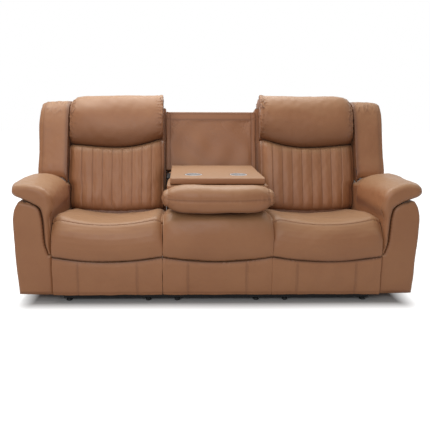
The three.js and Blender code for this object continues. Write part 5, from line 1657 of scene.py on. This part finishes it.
def plated_steel(
    name: str, light: str, dark: str, roughness: float, brush: float, metallic: float = 1.0
) -> bpy.types.Material:
    """Bright metal, drawn or spun: fine lines run across it and blur its reflections.

    Args:
        name: The material's name.
        light: Hex colour of the clean metal.
        dark: Hex colour between the lines.
        roughness: How far the lines blur a reflection.
        brush: How much finer the lines are across than along, as a scale per metre.
        metallic: Below one where a satin surface scatters some of the light, as inside a spun cup.

    Returns:
        The material.
    """
    noise = {"Scale": 8.0, "Detail": 4.0}
    stops = [(0.35, dark), (0.65, light)]
    made, lines = grained(name, stops, noise, (0.06, 0.0003), (12.0, 12.0, brush))
    gloss = {"To Min": roughness - 0.06, "To Max": roughness + 0.08}
    made.feed("Roughness", made.node("ShaderNodeMapRange", gloss, {"Value": lines}))
    made.set(Metallic=metallic)
    return made.material


def plywood(name: str) -> bpy.types.Material:
    """Birch plywood, drawn dark brown as painted shade where it shows between the covers: its grain runs
    along X.
    """
    noise = {"Scale": 3.0, "Detail": 6.0, "Roughness": 0.6, "Distortion": 0.4}
    stops = [(0.3, "4B3322"), (0.5, "5C4130"), (0.7, "6B4E3A")]
    made, _ = grained(name, stops, noise, (0.3, 0.0004), (2.0, 40.0, 40.0))
    made.set(Roughness=0.72, IOR=1.45)
    return made.material


def moulded_plastic(name: str) -> bpy.types.Material:
    """Black ABS from a spark-eroded mould: a matt, even texture, drawn 1 mm across."""
    noise = {"Scale": 900.0, "Detail": 2.0}
    made, _ = grained(name, [(0.3, "131315"), (0.7, "1A1A1C")], noise, (0.3, 0.0003))
    made.set(Roughness=0.5, IOR=1.53)
    return made.material


def thread(name: str) -> bpy.types.Material:
    """Bonded polyester thread, a shade darker than the leather, twisted at 1 mm."""
    made = Finish(name)
    twist = made.node("ShaderNodeTexWave", {"Scale": 160.0, "Distortion": 1.0}, {"Vector": made.place})
    made.feed("Base Color", made.ramp(twist.outputs["Fac"], [(0.2, "6E472E"), (0.8, "8A5E40")]))
    made.set(Roughness=0.65, IOR=1.5)
    return made.material


@dataclass
class Studio:
    """Camera, lamps, floor and world.

    Attributes:
        front_y: Row Y of the front of the lower panels, in metres.
        view_deg: The camera's yaw, its pitch downwards and its roll, as fitted to the photograph.
        spot: Its place in metres, with Y counted from the front of the panels.
        focal: Its focal length, in pixels of the photograph.
        picture: The photograph's width, in pixels.
        center: Where the line of sight meets the photograph, in pixels from its top left.
        sensor: The sensor's width, in millimetres.
        fill: The strength of the world's light.
        floor_half: Half the floor's width, in metres.
        glow_from: Half the box, in metres, beyond which the floor is lit.
        glow_width: How far beyond it the floor is fully lit, in metres.
    """

    front_y: float
    view_deg: tuple[float, float, float] = (1.0882, 10.5889, 0.2075)
    spot: tuple[float, float, float] = (-0.1840, -2.3377, 1.0204)
    focal: float = 479.99
    picture: float = 430.0
    center: tuple[float, float] = (190.534, 191.559)
    sensor: float = 36.0
    fill: float = 0.29
    floor_half: float = 14.0
    glow_from: tuple[float, float, float] = (0.94, 0.41, 0.0)
    glow_width: float = 0.11

    def camera(self) -> None:
        """Places the camera where the photograph's perspective puts it.

        Its turn is a rotation whose third column looks backwards along the line of sight.
        """
        yaw, pitch, roll = (math.radians(v) for v in self.view_deg)
        ahead = math.cos(pitch)
        forward = Vector((math.sin(yaw) * ahead, math.cos(yaw) * ahead, -math.sin(pitch)))
        right = Vector((math.cos(yaw), -math.sin(yaw), 0.0))
        up = right.cross(forward)
        turned_right = right * math.cos(roll) + up * math.sin(roll)
        turned_up = up * math.cos(roll) - right * math.sin(roll)
        data = bpy.data.cameras.new("photo_view")
        data.sensor_width = self.sensor
        data.lens = self.focal / self.picture * self.sensor
        data.shift_x = (self.picture / 2 - self.center[0]) / self.picture
        data.shift_y = (self.center[1] - self.picture / 2) / self.picture
        camera = bpy.data.objects.new("photo_view", data)
        rotation = Matrix((turned_right, turned_up, -forward)).transposed().to_4x4()
        spot = Vector(self.spot) + Vector((0.0, self.front_y, 0.0))
        camera.matrix_world = Matrix.Translation(spot) @ rotation
        bpy.context.scene.collection.objects.link(camera)
        bpy.context.scene.camera = camera

    @staticmethod
    def lamp(
        name: str, spot: Sequence[float], aim: Sequence[float], size: Sequence[float], power: float
    ) -> None:
        """Adds a soft box at a spot, aimed at a point."""
        data = bpy.data.lights.new(name, "AREA")
        data.shape, data.size, data.size_y, data.energy = "RECTANGLE", size[0], size[1], power
        made = bpy.data.objects.new(name, data)
        made.location = spot
        made.rotation_euler = (Vector(aim) - Vector(spot)).to_track_quat("-Z", "Y").to_euler()
        bpy.context.scene.collection.objects.link(made)

    def lights(self) -> None:
        """A broad soft box above and just behind the sofa, and a weaker one in front."""
        self.lamp("overhead", (-0.4, 0.5, 2.7), (0.0, -0.1, 0.4), (3.4, 1.8), 74.0)
        self.lamp("front", (-0.9, -3.6, 2.1), (0.0, 0.0, 0.5), (2.6, 1.8), 54.0)

    def world(self) -> None:
        """A pale room: white to the camera and in reflections, and a soft grey fill otherwise."""
        world = bpy.data.worlds.new("studio")
        bpy.context.scene.world = world
        world.use_nodes = True
        tree = world.node_tree
        tree.nodes.clear()
        white = add_node(tree, "ShaderNodeBackground", {"Color": (1, 1, 1, 1)})
        fill = add_node(tree, "ShaderNodeBackground", {"Color": (1, 0.985, 0.965, 1), "Strength": self.fill})
        links = {0: seen_plainly(tree), 1: fill.outputs[0], 2: white.outputs[0]}
        mix = add_node(tree, "ShaderNodeMixShader", links=links)
        add_node(tree, "ShaderNodeOutputWorld", links={"Surface": mix.outputs[0]})

    def floor(self) -> None:
        """A pale floor that is lit white to the camera beyond the sofa, as a studio sweep is."""
        half = self.floor_half
        points = np.array([(-half, -half, 0), (half, -half, 0), (half, half, 0), (-half, half, 0)])
        piece = make_mesh("floor", points, [np.array([[0, 1, 2, 3]])])
        made = Finish("studio_floor")
        outside = made.place
        steps = (("ABSOLUTE", {}), ("SUBTRACT", {1: self.glow_from}), ("MAXIMUM", {1: (0, 0, 0)}))
        for operation, values in steps:
            settings = {"operation": operation, **values}
            outside = made.node("ShaderNodeVectorMath", settings, {0: outside}).outputs[0]
        reach = made.node("ShaderNodeVectorMath", {"operation": "LENGTH"}, {0: outside})
        span = {"From Min": 0.0, "From Max": self.glow_width}
        far = made.node("ShaderNodeMapRange", span, {"Value": reach.outputs["Value"]})
        links = {0: far.outputs[0], 1: seen_plainly(made.tree)}
        made.feed("Emission Strength", made.node("ShaderNodeMath", {"operation": "MULTIPLY"}, links))
        made.set(Roughness=0.9, Specular_IOR_Level=0.0)
        made.set(Base_Color=(0.45, 0.45, 0.45, 1), Emission_Color=(1, 1, 1, 1))
        piece.data.materials.append(made.material)


def finish_solids(frame: dict) -> None:
    """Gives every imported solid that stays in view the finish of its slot."""
    finishes = {
        Slot.BLACK_STEEL: coated_steel("powder_coated_steel"),
        # Painted shade: the zinc is drawn a darker grey than bright zinc plate, so the hinge arms in the gap
        # behind the table look as dark as the shade there.
        Slot.ZINC_STEEL: plated_steel("zinc_plated_steel", "7C7F83", "5E6165", 0.36, 60.0),
        Slot.STAINLESS: plated_steel("brushed_stainless_steel", "DCDEE0", "C4C7CA", 0.34, 90.0, 0.45),
        Slot.PLYWOOD: plywood("birch_plywood"),
        Slot.PLASTIC: moulded_plastic("moulded_abs"),
    }
    slots = {part["node"]: Slot(part["material_slot"]) for part in frame["record"]["subparts"]}
    for name, solid in frame["nodes"].items():
        if slots[name] in finishes:
            solid.data.materials.clear()
            solid.data.materials.append(finishes[slots[name]])


def row_front(frame: dict) -> float:
    """Row Y of the front panels, in metres, worked out from the backs' hinge."""
    joint = next(j for j in frame["joints"] if j["name"] == "right_recline")
    return joint["pos_m"][1] - Datum.hinge_y * MM


def main() -> None:
    """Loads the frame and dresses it."""
    logging.basicConfig(level=logging.INFO, format="%(message)s")
    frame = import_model()
    datum = Datum(row_front(frame))
    shop = Workshop(datum, leather("corrected_grain_leather"), thread("bonded_polyester_thread"))
    studio = Studio(datum.front_y)
    studio.camera()
    studio.lights()
    studio.world()
    studio.floor()
    finish_solids(frame)
    Seat(Side.LEFT).build(shop)
    Seat(Side.CENTER, seam_y=5.0, seam_z=455.0, seam_rise=-10.0, bulge=36.0).build(shop)
    Seat(Side.RIGHT).build(shop)
    for side in (Side.LEFT, Side.RIGHT):
        Back(side, datum).build(shop)
        Arm(side).build(shop)
    CenterBack(datum).build(shop)
    Console().build(shop)
    shop.finish_thread()
    bpy.context.scene.view_settings.view_transform = "Standard"


if __name__ == "__main__":
    main()
